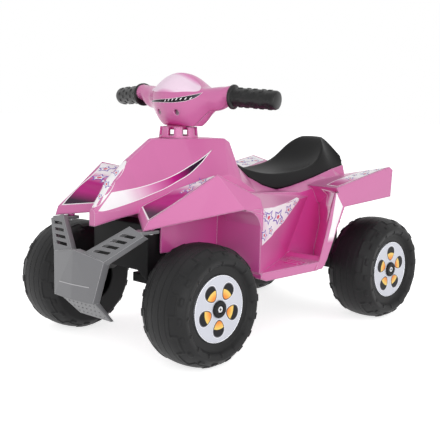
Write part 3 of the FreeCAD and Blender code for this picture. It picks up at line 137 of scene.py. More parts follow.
# Drawn streaks are long across the bike and fine the other ways
streaks_per_metre = (200.0, 2000.0, 2000.0)
# Finished materials by a short key
materials = {}


def node(tree, kind, inputs=None, **settings):
    """Add a node with its settings, and feed its inputs with values or with other sockets."""
    made = tree.nodes.new(kind)
    for key, value in settings.items():
        setattr(made, key, value)
    for key, value in (inputs or {}).items():
        if isinstance(value, bpy.types.NodeSocket):
            tree.links.new(value, made.inputs[key])
        else:
            made.inputs[key].default_value = value
    return made


def new_surface(name):
    """An empty material, its node tree and the place on the piece that patterns follow."""
    material = bpy.data.materials.new(name)
    material.use_nodes = True
    tree = material.node_tree
    tree.nodes.clear()
    return material, tree, node(tree, "ShaderNodeTexCoord").outputs["Object"]


def show_surface(tree, inputs):
    """Feed a material's shader and show it."""
    shader = node(tree, "ShaderNodeBsdfPrincipled", inputs)
    node(tree, "ShaderNodeOutputMaterial", {"Surface": shader.outputs["BSDF"]})


def soft_edges(tree, place, radius, grain_mm, grain_depth_mm):
    """Rounded shading on sharp edges with a fine moulded grain over it."""
    edge = node(tree, "ShaderNodeBevel", {"Radius": radius}, samples=6)
    grain = node(tree, "ShaderNodeTexNoise", {"Vector": place, "Scale": 1000 / grain_mm, "Detail": 2.0})
    bump = node(tree, "ShaderNodeBump", {"Height": grain.outputs["Fac"], "Distance": grain_depth_mm * MM,
                                         "Strength": 0.5, "Normal": edge.outputs["Normal"]})
    return bump.outputs["Normal"]


def tinted(tree, shown, tint, measure, none_at, full_at, most):
    """Mix a tint over a colour, from none where a measure is at one value to most at another."""
    limits = {"Value": measure, "From Min": none_at, "From Max": full_at, "To Min": 0.0, "To Max": most}
    share = node(tree, "ShaderNodeMapRange", limits).outputs["Result"]
    return node(tree, "ShaderNodeMix", {"Factor": share, 6: shown, 7: tint}, data_type="RGBA").outputs[2]


def paint_edge_highlights(tree, shown, edge_highlight_colour):
    """A painted highlight: a paler line where the surface turns sharply, where light catches moulded edges.
    """
    turned = node(tree, "ShaderNodeBevel", {"Radius": sizes().edge_line}, samples=6)
    flat = node(tree, "ShaderNodeNewGeometry")
    likeness = node(tree, "ShaderNodeVectorMath", {0: turned.outputs["Normal"], 1: flat.outputs["Normal"]},
                    operation="DOT_PRODUCT")
    return tinted(tree, shown, edge_highlight_colour, likeness.outputs["Value"], none_at=0.99, full_at=0.9, most=0.75)


def paint_recess_light(tree, shown, deep):
    """Painted light in recesses: a brighter, deeper colour mixed in where walls face each other, standing in
    for the light that reaches them.
    """
    open_sky = node(tree, "ShaderNodeAmbientOcclusion", {"Distance": sizes().painted_recess_reach}, samples=8)
    return tinted(tree, shown, deep, open_sky.outputs["AO"], none_at=0.75, full_at=0.35, most=0.85)


def moulded_plastic(name, base, roughness, coat, grain_mm, grain_depth_mm, shade=0.92, specular=0.5,
                    edge_highlight_colour=None, painted_recess_colour=None):
    """Injection-moulded plastic: even colour with slight flow shading, soft edges and a fine grain."""
    material, tree, place = new_surface(name)
    noise = node(tree, "ShaderNodeTexNoise", {"Vector": place, "Scale": 1000 / flow_mm, "Detail": 3.0})
    flow = noise.outputs["Fac"]
    darker = tuple(part * shade for part in base[:3]) + (1.0,)
    shown = node(tree, "ShaderNodeMix", {"Factor": flow, 6: base, 7: darker}, data_type="RGBA").outputs[2]
    # Painted light: a brighter, deeper colour in recesses, where walls face each other
    if painted_recess_colour is not None:
        shown = paint_recess_light(tree, shown, painted_recess_colour)
    # Painted highlight: a paler colour along sharp edges
    if edge_highlight_colour is not None:
        shown = paint_edge_highlights(tree, shown, edge_highlight_colour)
    rub = node(tree, "ShaderNodeMapRange", {"Value": flow, "To Min": roughness * 0.9,
                                            "To Max": roughness * 1.1})
    normal = soft_edges(tree, place, sizes().edge_round, grain_mm, grain_depth_mm)
    show_surface(tree, {"Base Color": shown, "Roughness": rub.outputs["Result"], "Normal": normal, "IOR": 1.5,
                        "Specular IOR Level": specular, "Coat Weight": coat, "Coat Roughness": 0.12})
    return material


def plated_steel(name, base, roughness):
    """Zinc-plated steel: bright metal with a faint drawn streak along its length."""
    material, tree, place = new_surface(name)
    drawn = node(tree, "ShaderNodeMapping", {"Vector": place, "Scale": streaks_per_metre}).outputs["Vector"]
    streak = node(tree, "ShaderNodeTexNoise", {"Vector": drawn, "Scale": 1.0, "Detail": 2.0})
    rub = node(tree, "ShaderNodeMapRange", {"Value": streak.outputs["Fac"], "To Min": roughness * 0.8,
                                            "To Max": roughness * 1.3})
    edge = node(tree, "ShaderNodeBevel", {"Radius": 0.4 * MM}, samples=4)
    show_surface(tree, {"Base Color": base, "Roughness": rub.outputs["Result"],
                        "Normal": edge.outputs["Normal"], "Metallic": 1.0})
    return material


def show_vinyl(tree, place, shade):
    """Gloss vinyl film: a thin even shine, slightly broken by print dots, drawn large enough to show."""
    dots = node(tree, "ShaderNodeTexNoise", {"Vector": place, "Scale": 1000 / dot_mm, "Detail": 1.0})
    rub = node(tree, "ShaderNodeMapRange", {"Value": dots.outputs["Fac"], "To Min": 0.3, "To Max": 0.4})
    show_surface(tree, {"Base Color": shade, "Roughness": rub.outputs["Result"], "IOR": 1.48,
                        "Specular IOR Level": 0.14})


def printed_vinyl(name, start, end, stops):
    """Gloss vinyl print whose colour fades from start to end, stops give place and colour."""
    material, tree, place = new_surface(name)
    run = Vector(end) - Vector(start)
    slope = tuple(run / (run.length_squared * MM))
    moved = node(tree, "ShaderNodeVectorMath", {0: place, 1: tuple(Vector(start) * MM)}, operation="SUBTRACT")
    along = node(tree, "ShaderNodeVectorMath", {0: moved.outputs["Vector"], 1: slope},
                 operation="DOT_PRODUCT")
    fade = node(tree, "ShaderNodeValToRGB", {"Fac": along.outputs["Value"]})
    ramp = fade.color_ramp
    while len(ramp.elements) > 1:
        ramp.elements.remove(ramp.elements[-1])
    ramp.elements[0].position = stops[0][0]
    ramp.elements[0].color = stops[0][1]
    for position, shade in stops[1:]:
        ramp.elements.new(position).color = shade
    show_vinyl(tree, place, fade.outputs["Color"])
    return material


def plain_vinyl(name, shade):
    """Gloss vinyl of one even ink."""
    material, tree, place = new_surface(name)
    show_vinyl(tree, place, shade)
    return material


def make_materials():
    """Finishes of the frame's nodes. The grain is drawn coarser than the mould's own, so that it shows."""
    hues = colours()
    # Gloss mouldings show even colour and soft highlights, with a painted highlight on their edges and
    # painted light, a brighter, deeper pink, where walls face each other
    materials["pink"] = moulded_plastic(
        "Gloss pink polypropylene, moulded", hues.pink, roughness=0.3, coat=0.25, grain_mm=1.5,
        grain_depth_mm=0.03, shade=0.95, specular=0.4, edge_highlight_colour=hues.pale_pink,
        painted_recess_colour=hues.painted_recess_pink)
    materials["deep_pink"] = moulded_plastic(
        "Deep pink polypropylene, moulded", hues.deep_pink, roughness=0.32, coat=0.3, grain_mm=1.5,
        grain_depth_mm=0.03)
    # Satin mouldings show dull, broad highlights and a fine grain
    materials["black"] = moulded_plastic(
        "Black polypropylene, moulded satin", hues.black, roughness=0.5, coat=0.0, grain_mm=0.9,
        grain_depth_mm=0.06, shade=0.9, specular=0.22)
    materials["tyre"] = moulded_plastic(
        "Black polyethylene, blow moulded", hues.tyre_black, roughness=0.5, coat=0.0, grain_mm=1.1,
        grain_depth_mm=0.06, shade=0.85, specular=0.26)
    materials["seat"] = moulded_plastic(
        "Black polypropylene, fine leather texture", hues.seat_black, roughness=0.42, coat=0.0, grain_mm=1.2,
        grain_depth_mm=0.06, shade=0.9, specular=0.17)
    # The grey's pale edge colour is a painted highlight
    materials["grey"] = moulded_plastic(
        "Grey polypropylene, satin", hues.grey, roughness=0.4, coat=0.1, grain_mm=0.8, grain_depth_mm=0.05,
        shade=0.85, specular=0.5, edge_highlight_colour=colour("C9C8CB"))
    materials["nylon"] = moulded_plastic(
        "Natural nylon, moulded", colour("E4E1D4"), roughness=0.45, coat=0.0, grain_mm=1.0,
        grain_depth_mm=0.02)
    # Soft PVC and printed discs show an even, slightly wet sheen
    materials["grip"] = moulded_plastic(
        "Black soft PVC, dipped", hues.grip_black, roughness=0.34, coat=0.1, grain_mm=1.0,
        grain_depth_mm=0.03, shade=0.9, specular=0.3)
    materials["red_lead"] = moulded_plastic(
        "Red PVC lead sheath", colour("A8161C"), roughness=0.4, coat=0.0, grain_mm=1.0, grain_depth_mm=0.01)
    materials["silver"] = moulded_plastic(
        "Silver printed polystyrene disc", hues.silver, roughness=0.3, coat=0.3, grain_mm=1.2,
        grain_depth_mm=0.01, shade=0.94)
    # Plated parts show bright reflections with drawn streaks, duller on the pod's screws
    materials["bright"] = plated_steel("Bright foil lip", colour("E6E7EC"), roughness=0.22)
    materials["steel"] = plated_steel("Zinc-plated steel", colour("C9CACC"), roughness=0.28)
    materials["dark_steel"] = plated_steel("Dull zinc screw", colour("7C6A74"), roughness=0.5)
    materials["motor_steel"] = plated_steel("Plated steel can", colour("A9AAAD"), roughness=0.35)


slot_materials = {
    "pink_plastic": "pink", "dark_pink_plastic": "deep_pink", "black_plastic": "black",
    "seat_plastic": "seat", "grey_plastic": "grey", "silver_trim": "silver", "soft_grip": "grip",
    "steel": "steel", "motor_steel": "motor_steel", "gear_plastic": "nylon", "case_plastic": "black",
    "battery_case": "black", "lead_sheath": "red_lead",
}
node_materials = {"handlebar_screws": "dark_steel"}


def finish_nodes():
    """Give every node of the frame the finish of its record slot, or its own."""
    slots = {entry["node"]: entry["material_slot"] for entry in frame["record"]["subparts"]}
    for name, obj in frame["nodes"].items():
        key = node_materials.get(name, slot_materials[slots[name]])
        obj.data.materials.clear()
        obj.data.materials.append(materials[key])


# Pieces

# Distance in metres from which a ray looks for the surface, and how far it looks
ray_start = 0.03
ray_length = 3 * ray_start
merge_distance = 0.01 * MM


def new_piece(name, shape, finishes, body, replaced=()):
    """Turn a bmesh into an object that rides on a body and takes a slot's finish."""
    mesh = bpy.data.meshes.new(name)
    shape.to_mesh(mesh)
    shape.free()
    for finish in finishes:
        mesh.materials.append(finish)
    piece = bpy.data.objects.new(name, mesh)
    bpy.context.scene.collection.objects.link(piece)
    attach(piece, body)
    if replaced:
        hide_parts(*replaced)
    return piece


def smooth(shape, sharp_degrees):
    """Smooth shading with sharp edges above an angle."""
    for face in shape.faces:
        face.smooth = True
    for edge in shape.edges:
        if len(edge.link_faces) == 2 and edge.calc_face_angle(0.0) > math.radians(sharp_degrees):
            edge.smooth = False


def mirrored(point, side):
    """A point or direction of the rider's left, moved to a side."""
    return Vector((side * point[0], point[1], point[2]))


def spun(points, axis, turns, closed):
    """A profile turned right round an axis, closed on itself or open."""
    shape = bmesh.new()
    verts = [shape.verts.new(point) for point in points]
    following = verts[1:] + verts[:1] if closed else verts[1:]
    edges = [shape.edges.new(pair) for pair in zip(verts, following)]
    bmesh.ops.spin(shape, geom=verts + edges, cent=(0, 0, 0), axis=axis, angle=2 * math.pi, steps=turns,
                   use_merge=True)
    bmesh.ops.remove_doubles(shape, verts=shape.verts[:], dist=merge_distance)
    bmesh.ops.recalc_face_normals(shape, faces=shape.faces[:])
    return shape


def pulled(corners, pull):
    """One flat outline pulled along a vector to a solid."""
    shape = bmesh.new()
    face = shape.faces.new([shape.verts.new(corner) for corner in corners])
    grown = bmesh.ops.extrude_face_region(shape, geom=[face])
    moved = [item for item in grown["geom"] if isinstance(item, bmesh.types.BMVert)]
    bmesh.ops.translate(shape, vec=pull, verts=moved)
    bmesh.ops.recalc_face_normals(shape, faces=shape.faces[:])
    return shape


def add_bar(shape, size, middle):
    """Add a small bar to a shape, its size in millimetres and its middle in metres."""
    verts = bmesh.ops.create_cube(shape, size=1.0)["verts"]
    bmesh.ops.scale(shape, vec=Vector(size) * MM, verts=verts)
    bmesh.ops.translate(shape, vec=middle, verts=verts)


def surface_of(*names):
    """A search tree over the surfaces of some frame nodes."""
    corners = []
    faces = []
    for name in names:
        mesh = frame["nodes"][name].data
        start = len(corners)
        corners += [v.co.copy() for v in mesh.vertices]
        faces += [[start + k for k in polygon.vertices] for polygon in mesh.polygons]
    return BVHTree.FromPolygons(corners, faces)


def lay_on(shape, tree, direction, lift):
    """Drop every corner along a direction onto a surface and lift it a little."""
    direction = Vector(direction).normalized()
    for corner in shape.verts:
        start = corner.co + direction * ray_start
        hit, normal = tree.ray_cast(start, -direction, ray_length)[:2]
        if hit is None:
            hit, normal = tree.find_nearest(corner.co)[:2]
        if normal.dot(direction) < 0:
            normal = -normal
        corner.co = hit + normal * lift


def cut_in_strips(shape, spacing):
    """Cut a flat outline into small cells so that it can follow a surface."""
    low = [min(v.co[k] for v in shape.verts) for k in range(3)]
    high = [max(v.co[k] for v in shape.verts) for k in range(3)]
    for axis in range(3):
        normal = [0.0, 0.0, 0.0]
        normal[axis] = 1.0
        count = int((high[axis] - low[axis]) / spacing)
        for k in range(count):
            at = [0.0, 0.0, 0.0]
            at[axis] = low[axis] + (k + 0.5) * spacing
            bmesh.ops.bisect_plane(shape, geom=shape.verts[:] + shape.edges[:] + shape.faces[:], plane_co=at,
                                   plane_no=normal)


def flat_outline(points, direction, side):
    """One face through outline points in millimetres, flattened across a direction."""
    direction = Vector(direction).normalized()
    corners = [mirrored(point, side) * MM for point in points]
    middle = sum(corners, Vector()) / len(corners)
    shape = bmesh.new()
    verts = [shape.verts.new(p - direction * (p - middle).dot(direction)) for p in corners]
    face = shape.faces.new(verts)
    face.normal_update()
    if face.normal.dot(direction) < 0:
        face.normal_flip()
    return shape


def laid_outline(points, direction, side, tree, border, lift, spacing):
    """An outline with an optional border, cut in cells and laid on a surface, facing out of it."""
    aim = mirrored(direction, side)
    shape = flat_outline(points, aim, side)
    if border > 0:
        inset = bmesh.ops.inset_region(shape, faces=shape.faces[:], thickness=border, use_boundary=True,
                                       use_even_offset=True)
        rim = set(inset["faces"])
        for face in shape.faces:
            face.material_index = 0 if face in rim else 1
    bmesh.ops.triangulate(shape, faces=shape.faces[:])
    cut_in_strips(shape, spacing)
    lay_on(shape, tree, aim, lift)
    bmesh.ops.recalc_face_normals(shape, faces=shape.faces[:])
    if sum(face.normal.dot(aim) * face.calc_area() for face in shape.faces) < 0:
        bmesh.ops.reverse_faces(shape, faces=shape.faces[:])
    return shape


def decal(name, points, direction, side, tree, finishes, border, lift, spacing=0.0045, body="chassis"):
    """A decal with an optional border of the first finish, laid on a surface: a print, and on the pod's dome
    and the bumper's rib a painted highlight.
    """
    shape = laid_outline(points, direction, side, tree, border, lift, spacing)
    for face in shape.faces:
        face.smooth = True
    new_piece(name, shape, finishes, body)


def round_line(points, steps):
    """Points of a smooth line through a few given points."""
    padded = [points[0]] + list(points) + [points[-1]]
    line = []
    for four in zip(padded, padded[1:], padded[2:], padded[3:]):
        p0, p1, p2, p3 = (Vector(p) for p in four)
        for k in range(steps):
            t = k / steps
            line.append(0.5 * (2 * p1 + (p2 - p0) * t + (2 * p0 - 5 * p1 + 4 * p2 - p3) * t * t
                               + (3 * p1 - p0 - 3 * p2 + p3) * t ** 3))
    line.append(Vector(points[-1]))
    return line


# Small stars

# Stars are drawn long towards the front corner, so that they read even from there
star_sight = Vector((0.68, -0.73, 0.14))
star_stretch = 1.9
star_tips = 5
star_first_turn = 0.4
star_turn_step = 1.3
star_cell = 0.004
star_layer_lift = 0.12 * MM
# Layers of a star: ink, share of its radius and share of the waist between its tips
star_layers = (("violet", 1.0, 0.5), ("white", 0.72, 0.5), ("coral", 0.26, 0.9))


def star_points(middle, direction, radius, turn, waist):
    """Outline of a small star in the plane across a direction."""
    direction = Vector(direction).normalized()
    reference = Vector((0, 0, 1)) if abs(direction.z) < 0.8 else Vector((0, 1, 0))
    across = direction.cross(reference).normalized()
    upward = direction.cross(across)
    deep = (star_sight - direction * star_sight.dot(direction)).normalized()
    points = []
    for k in range(star_tips * 2):
        reach = radius if k % 2 == 0 else radius * waist
        angle = turn + math.pi * k / star_tips
        arm = across * reach * math.cos(angle) + upward * reach * math.sin(angle)
        points.append(Vector(middle) + arm + deep * arm.dot(deep) * (star_stretch - 1))
    return points


def motifs(name, places, direction, side, tree, lift):
    """Small stars, violet outside, white inside, with a coral middle."""
    for level, (ink, share, waist) in enumerate(star_layers, start=1):
        whole = bmesh.new()
        for k, (x, y, z, radius) in enumerate(places):
            turn = star_first_turn + k * star_turn_step
            points = star_points((x, y, z), direction, radius * share, turn, waist)
            height = lift + level * star_layer_lift
            one = laid_outline(points, direction, side, tree, 0.0, height, star_cell)
            mesh = bpy.data.meshes.new("one star")
            one.to_mesh(mesh)
            one.free()
            whole.from_mesh(mesh)
            bpy.data.meshes.remove(mesh)
        new_piece(name + "_" + ink, whole, [materials["print_" + ink]], "chassis")


# Outlines of the prints in millimetres, on the rider's left

hood_normal = (0.813, -0.393, 0.429)
hood_top_line = [(13, -290, 271), (23, -266, 275), (31, -239, 280), (37, -218, 285), (42, -193, 292),
                 (48, -172, 301), (52, -149, 312), (56, -126, 324), (58, -99, 340)]
hood_low_line = [(60, -126, 318), (57, -153, 298), (52, -179, 285), (47, -203, 274), (41, -226, 266),
                 (35, -248, 258), (28, -270, 251), (20, -289, 245), (13, -306, 241), (8, -314, 241)]
hood_outline = round_line(hood_top_line, 4) + round_line(hood_low_line, 4)
leaf_normal = (0.0, -0.72, 0.69)
leaf_half = [(2, -318, 246), (7, -311, 250), (10, -300, 262), (12.5, -285, 280), (11.5, -270, 297),
             (8, -257, 310), (3, -248, 318)]
leaf_outline = leaf_half + [(-x, y, z) for x, y, z in reversed(leaf_half)]
fender_normal = (-0.2, -0.33, 0.92)
fender_outer_line = [(114, -298, 236), (121, -279, 248), (130, -250, 265), (134, -219, 282), (140, -196, 295),
                     (147, -184, 302)]
fender_inner_line = [(76, -130, 292), (66, -154, 286), (58, -180, 278), (49, -213, 264), (43, -238, 253),
                     (40, -248, 247)]
fender_outline = round_line(fender_outer_line, 4) + round_line(fender_inner_line, 4)
shield_normal = (0.94, 0.34, 0.1)
shield_outline = [(177, -99, 246), (156, -46, 243), (128, 25, 244), (103, 80, 246), (107, 79, 241),
                  (118, 55, 228), (128, 18, 207), (147, -35, 190), (176, -96, 183)]
strip_normal = (-0.1, -0.17, 0.98)
strip_outline = [(176, 114, 271), (176, 190, 285), (176, 274, 300), (140, 272, 293), (131, 220, 283),
                 (129, 170, 274), (136, 134, 268)]
wedge_normal = (-0.74, -0.67, 0.05)
wedge_outline = [(127, 132, 262), (171, 104, 261), (169, 95, 214), (164, 100, 204), (150, 116, 225),
                 (137, 128, 243)]
band_normal = (1, 0, 0)
band_outline = [(180, 106, 260), (180, 128, 233), (180, 110, 196), (180, 101, 170), (180, 83, 167),
                (180, 95, 204), (180, 101, 235)]

# Prints of one side: piece, material, outline, direction, share of the border's width, where the fade starts
# and ends, and its stops by place and colour
body_prints = (
    ("hood_print_", "Hood print ", hood_outline, hood_normal, 0.55, (10, -312, 245), (58, -100, 338),
     ((0.0, "print_white"), (0.2, "print_white"), (0.42, "print_pink"), (0.6, "print_magenta"),
      (0.76, "print_plum"), (1.0, "print_plum"))),
    ("fender_print_", "Fender print ", fender_outline, fender_normal, 1.0, (78, -276, 240), (110, -150, 298),
     ((0.0, "print_plum"), (0.05, "print_plum"), (0.24, "print_magenta"), (0.46, "print_magenta"),
      (0.58, "print_pink"), (0.68, "print_white"), (1.0, "print_white"))),
    ("shield_print_", "Shield print ", shield_outline, shield_normal, 1.0, (140, -40, 245), (176, -96, 200),
     ((0.0, "print_white"), (0.5, "print_white"), (0.8, "pale_pink"), (1.0, "print_white"))),
    ("rear_fender_print_", "Rear fender print ", strip_outline, strip_normal, 1.0, (150, 118, 270),
     (150, 270, 296),
     ((0.0, "print_magenta"), (0.16, "print_magenta"), (0.34, "print_pink"), (0.5, "print_white"))),
    ("footwell_print_", "Footwell print ", wedge_outline, wedge_normal, 1.0, (127, 134, 250), (170, 100, 250),
     ((0.0, "print_magenta"), (0.15, "print_magenta"), (0.4, "print_pink"), (0.7, "print_white"))),
    ("post_print_", "Post print ", band_outline, band_normal, 0.0, (180, 95, 192), (180, 95, 168),
     ((0.0, "print_white"), (0.5, "print_white"), (1.0, "pink"))),
)

# Places and radii of the small stars in millimetres
leaf_stars = [(0, -302, 262, 5), (-2, -286, 281, 6.5), (1, -268, 299, 6)]
fender_stars = [(117, -212, 281, 10), (95, -182, 284, 11), (127, -190, 293, 9), (82, -152, 289, 10),
                (100, -212, 277, 7), (112, -168, 292, 8)]
shield_stars = [(162, -64, 227, 14), (143, -18, 222, 15), (171, -84, 199, 11), (124, 30, 229, 11),
                (112, 58, 238, 6), (153, -44, 201, 9), (134, 6, 211, 7), (172, -88, 233, 8)]
strip_stars = [(154, 184, 281, 9), (162, 222, 288, 10), (146, 250, 291, 8), (144, 214, 284, 6),
               (166, 256, 296, 6)]
body_stars = (("fender_motif_", fender_stars, fender_normal), ("shield_motif_", shield_stars, shield_normal),
              ("rear_motif_", strip_stars, strip_normal))


def make_prints():
    """Lay every decal of the body on its shell, both sides."""
    hues = colours()
    lift = sizes().print_lift
    # Inks lie flat and even under the film's shine
    materials["print_white"] = plain_vinyl("White gloss vinyl", hues.print_white)
    materials["print_violet"] = plain_vinyl("Violet ink on vinyl", hues.print_violet)
    materials["print_coral"] = plain_vinyl("Coral ink on vinyl", hues.print_coral)
    white = materials["print_white"]
    body = surface_of("body_shell")
    decal("hood_leaf_print", round_line(leaf_outline, 3), leaf_normal, 1, body, [white], 0.0, lift)
    motifs("hood_leaf_motif", leaf_stars, leaf_normal, 1, body, lift)
    for side, word in sides:
        for piece, label, outline, normal, share, start, end, stops in body_prints:
            fade = [(position, getattr(hues, shade)) for position, shade in stops]
            ink = printed_vinyl(label + word, mirrored(start, side), mirrored(end, side), fade)
            border = sizes().print_border * share
            finishes = [white, ink] if border > 0 else [ink]
            decal(piece + word, outline, normal, side, body, finishes, border, lift)
        for piece, stars, normal in body_stars:
            motifs(piece + word, stars, normal, side, body, lift)


# Wheel arches

well_plate_corners = [(80, 212), (176, 212), (176, 244), (80, 262)]
well_plate_y = -103.4
well_plate_thickness = 1.6
arch_outer_x = 179.4
arch_depth = 80.0
arch_back_y = -98.0
arch_end_y = -103.0
arch_front_y = -142.0
arch_low_z = 209.0
arch_high_z = 245.5
arch_top_z = 247.0
arch_steps = 10
arch_sharp_degrees = 30


def make_well_plates():
    """A plate that carries each front wheel well's rear wall up to the underside of the fender."""
    for side, word in sides:
        corners = [mirrored((x, well_plate_y, z), side) * MM for x, z in well_plate_corners]
        shape = pulled(corners, (0.0, well_plate_thickness * MM, 0.0))
        new_piece("well_plate_" + word, shape, [materials["pink"]], "chassis")


def make_arch_corners():
    """A hollow round that leads each front wheel arch from the fender into the leg shield."""
    outline = [(arch_back_y, arch_low_z), (arch_back_y, arch_top_z), (arch_front_y, arch_top_z)]
    for k in range(arch_steps + 1):
        turn = math.pi / 2 * k / arch_steps
        outline.append((arch_front_y + (arch_end_y - arch_front_y) * math.sin(turn),
                        arch_low_z + (arch_high_z - arch_low_z) * math.cos(turn)))
    for side, word in sides:
        corners = [mirrored((arch_outer_x, y, z), side) * MM for y, z in outline]
        shape = pulled(corners, (-side * arch_depth * MM, 0.0, 0.0))
        smooth(shape, arch_sharp_degrees)
        new_piece("arch_corner_" + word, shape, [materials["pink"]], "chassis")


# Pedal spring

spring_merge = 0.001 * MM
spring_sharp_degrees = 40


def make_return_spring():
    """A smooth-shaded copy of the pedal's return spring, which on the bike shortens as the pedal goes down;
    the copy rides fixed on the chassis.
    """
    shape = bmesh.new()
    shape.from_mesh(frame["nodes"]["pedal_spring"].data)
    bmesh.ops.remove_doubles(shape, verts=shape.verts[:], dist=spring_merge)
    smooth(shape, spring_sharp_degrees)
    piece = new_piece("return_spring", shape, [materials["steel"]], "chassis", ["pedal_spring"])
    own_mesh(piece)


# Handlebar

pod_normal = (0, -1, 0.1)
pod_cell = 0.004
pod_border = 0.45 * MM
pod_dark_top = [(-60, -148, 421), (-30, -158, 423), (12, -164, 426), (38, -155, 430), (54, -145, 434),
                (68, -137, 438)]
pod_dark_low = [(62, -141, 432), (52, -147, 426), (35, -156, 421), (11, -163, 419), (-20, -161, 419),
                (-46, -154, 419)]
dome_normal = (0, -0.72, 0.69)
dome_half = [(0, -166, 437), (23, -161, 437), (46, -148, 438.5), (60, -138, 441), (54, -127, 446),
             (41, -120, 453), (28, -120, 461), (12, -124, 467)]

# White slashes of the pod's dark strip in millimetres: the first one's foot, and the step to the next
slash_count = 7
slash_cell = 0.003
slash_lift = 0.25 * MM
slash_first = Vector((2.0, -165.0, 420.8))
slash_step = Vector((7.6, 0.0, 1.1))
slash_outline = [Vector(point) for point in ((0, 0, 0), (1.8, 0, 0), (4.8, 0, 3.6), (3.0, 0, 3.6))]

# Profile of the grip's flanged foot and of its round end: radius and place along in millimetres
grip_foot = [(9.2, 0.0), (19.5, 0.0), (21.0, 1.5), (21.0, 4.5), (19.5, 6.0), (16.0, 6.5)]
grip_end = [(14.8, 86.8), (12.0, 88.0), (0.0, 88.0)]
# Blocks stand on the wall outside this radius, in rows along and columns round the grip
grip_inside = 15.0
grip_rows = 11
grip_row = 77.5 / grip_rows
grip_columns = 32
grip_block_edge = 0.5 * MM
grip_sharp_degrees = 38

# The bent bar's middle in metres, and where a grip starts on it in millimetres
bar_middle = Vector((0.0, -135.5, 437.0)) * MM
bar_sweep = math.radians(12.5)
bar_drop = math.radians(2.66)
bar_along = Vector((math.cos(bar_sweep) * math.cos(bar_drop), math.sin(bar_sweep) * math.cos(bar_drop),
                    -math.sin(bar_drop)))
grip_start = 115.0


def make_pod_print_and_dome_highlight():
    """A painted highlight, a pale fade, on the pod's dome, and the dark strip with white slashes across the
    pod's front.
    """
    hues = colours()
    lift = sizes().print_lift
    white = materials["print_white"]
    front = surface_of("handlebar_front_cover", "handlebar_rear_cover")
    # The dome's pale fade is a painted reflection of a broad lamp, laid like a decal
    pale = printed_vinyl("Pale pink gloss film", (0, -166, 437), (0, -128, 467), (
        (0.0, hues.print_pink), (0.12, hues.pale_pink), (0.75, hues.pale_pink), (1.0, hues.print_pink)))
    ring = dome_half + [(-x, y, z) for x, y, z in reversed(dome_half[1:])]
    outline = round_line(ring + ring[:1], 3)[:-1]
    decal("pod_dome_print", outline, dome_normal, 1, front, [pale], 0.0, lift, pod_cell, "handlebar")
    dark = printed_vinyl("Pod print", (-60, -148, 421), (70, -138, 436), (
        (0.0, colour("9A9BA4")), (0.3, colour("17171A")), (0.8, colour("17171A")), (1.0, colour("6B6B76"))))
    outline = round_line(pod_dark_top, 5) + round_line(pod_dark_low, 5)
    decal("pod_print", outline, pod_normal, 1, front, [white, dark], pod_border, lift, pod_cell, "handlebar")
    for k in range(slash_count):
        slash = [slash_first + slash_step * k + point for point in slash_outline]
        decal("pod_slash_%d" % k, slash, pod_normal, 1, front, [white], 0.0, lift + slash_lift, slash_cell,
              "handlebar")


def grip_shape():
    """A grip along its own Z with a flange, a round end and rows of raised blocks."""
    radius, start = grip_foot[-1]
    rows = [(radius, start + k * grip_row) for k in range(1, grip_rows + 1)]
    points = [Vector((r, 0.0, z)) * MM for r, z in grip_foot + rows + grip_end]
    shape = spun(points, (0, 0, 1), grip_columns, closed=False)
    raised = []
    for face in shape.faces:
        middle = face.calc_center_median() / MM
        row = math.floor((middle.z - start) / grip_row)
        column = int((math.atan2(middle.y, middle.x) + math.pi) / (2 * math.pi) * grip_columns)
        on_wall = 0 <= row < grip_rows and Vector((middle.x, middle.y)).length > grip_inside
        if on_wall and row % 2 == 1 and (column + 2 * (row // 2)) % 4 in (0, 1):
            raised.append(face)
    bmesh.ops.inset_region(shape, faces=raised, thickness=grip_block_edge, depth=sizes().grip_block,
                           use_even_offset=True)
    smooth(shape, grip_sharp_degrees)
    return shape


def make_grips():
    """The two grips on the ends of the bent bar."""
    for side, word in sides:
        along = mirrored(bar_along, side)
        turn = along.to_track_quat("Z", "Y").to_matrix().to_4x4()
        place = Matrix.Translation(bar_middle + along * grip_start * MM) @ turn
        shape = grip_shape()
        bmesh.ops.transform(shape, matrix=place, verts=shape.verts[:])
        new_piece(word + "_grip_blocks", shape, [materials["grip"]], "handlebar",
                  [word + "_grip"])


# Tyres

# Half of the tread, out from the middle: place across and radius in millimetres, with two faint grooves
tread_half = [(0.0, 100.0), (6.3, 99.9), (7.0, 99.0), (7.7, 99.8), (16.0, 99.0), (19.3, 98.6),
              (20.0, 97.7), (20.7, 98.4), (25.0, 97.5), (27.4, 96.8), (30.4, 95.6), (33.4, 94.2),
              (36.0, 92.8), (38.2, 91.6), (40.5, 90.2), (45.0, 86.5), (49.0, 81.6)]
# The rest of the tyre's section: outer side, seat of the disc, bore for the axle and the hollow behind
tyre_side = [(48.8, 78.0), (48.0, 74.0), (46.0, 71.5), (41.0, 69.6), (39.6, 68.2), (39.4, 66.0),
             (39.4, 56.0), (37.9, 55.1), (37.9, 5.1), (-49.0, 5.1), (-49.0, 16.0), (32.9, 16.0),
             (32.9, 69.0), (24.5, 93.7), (-24.5, 93.7), (-45.0, 77.6), (-45.0, 45.0), (-49.0, 45.0)]
tyre_turns = 144
tyre_side_x = 46.0
tread_edge = 0.35 * MM
tread_sharp_degrees = 34

# Places across or radii of the raised forms in millimetres, and how many steps of a turn they repeat in
line_near = (25.0, 27.4)
line_far = (36.0, 38.2)
line_least_radius = 88.0
line_beat = 16
line_crossings = (7, 15)
shoulder_band = (40.5, 45.0)
shoulder_least_radius = 84.0
shoulder_beat = 8
shoulder_width = 3
rim_band = (71.5, 78.5)
rim_beat = 9


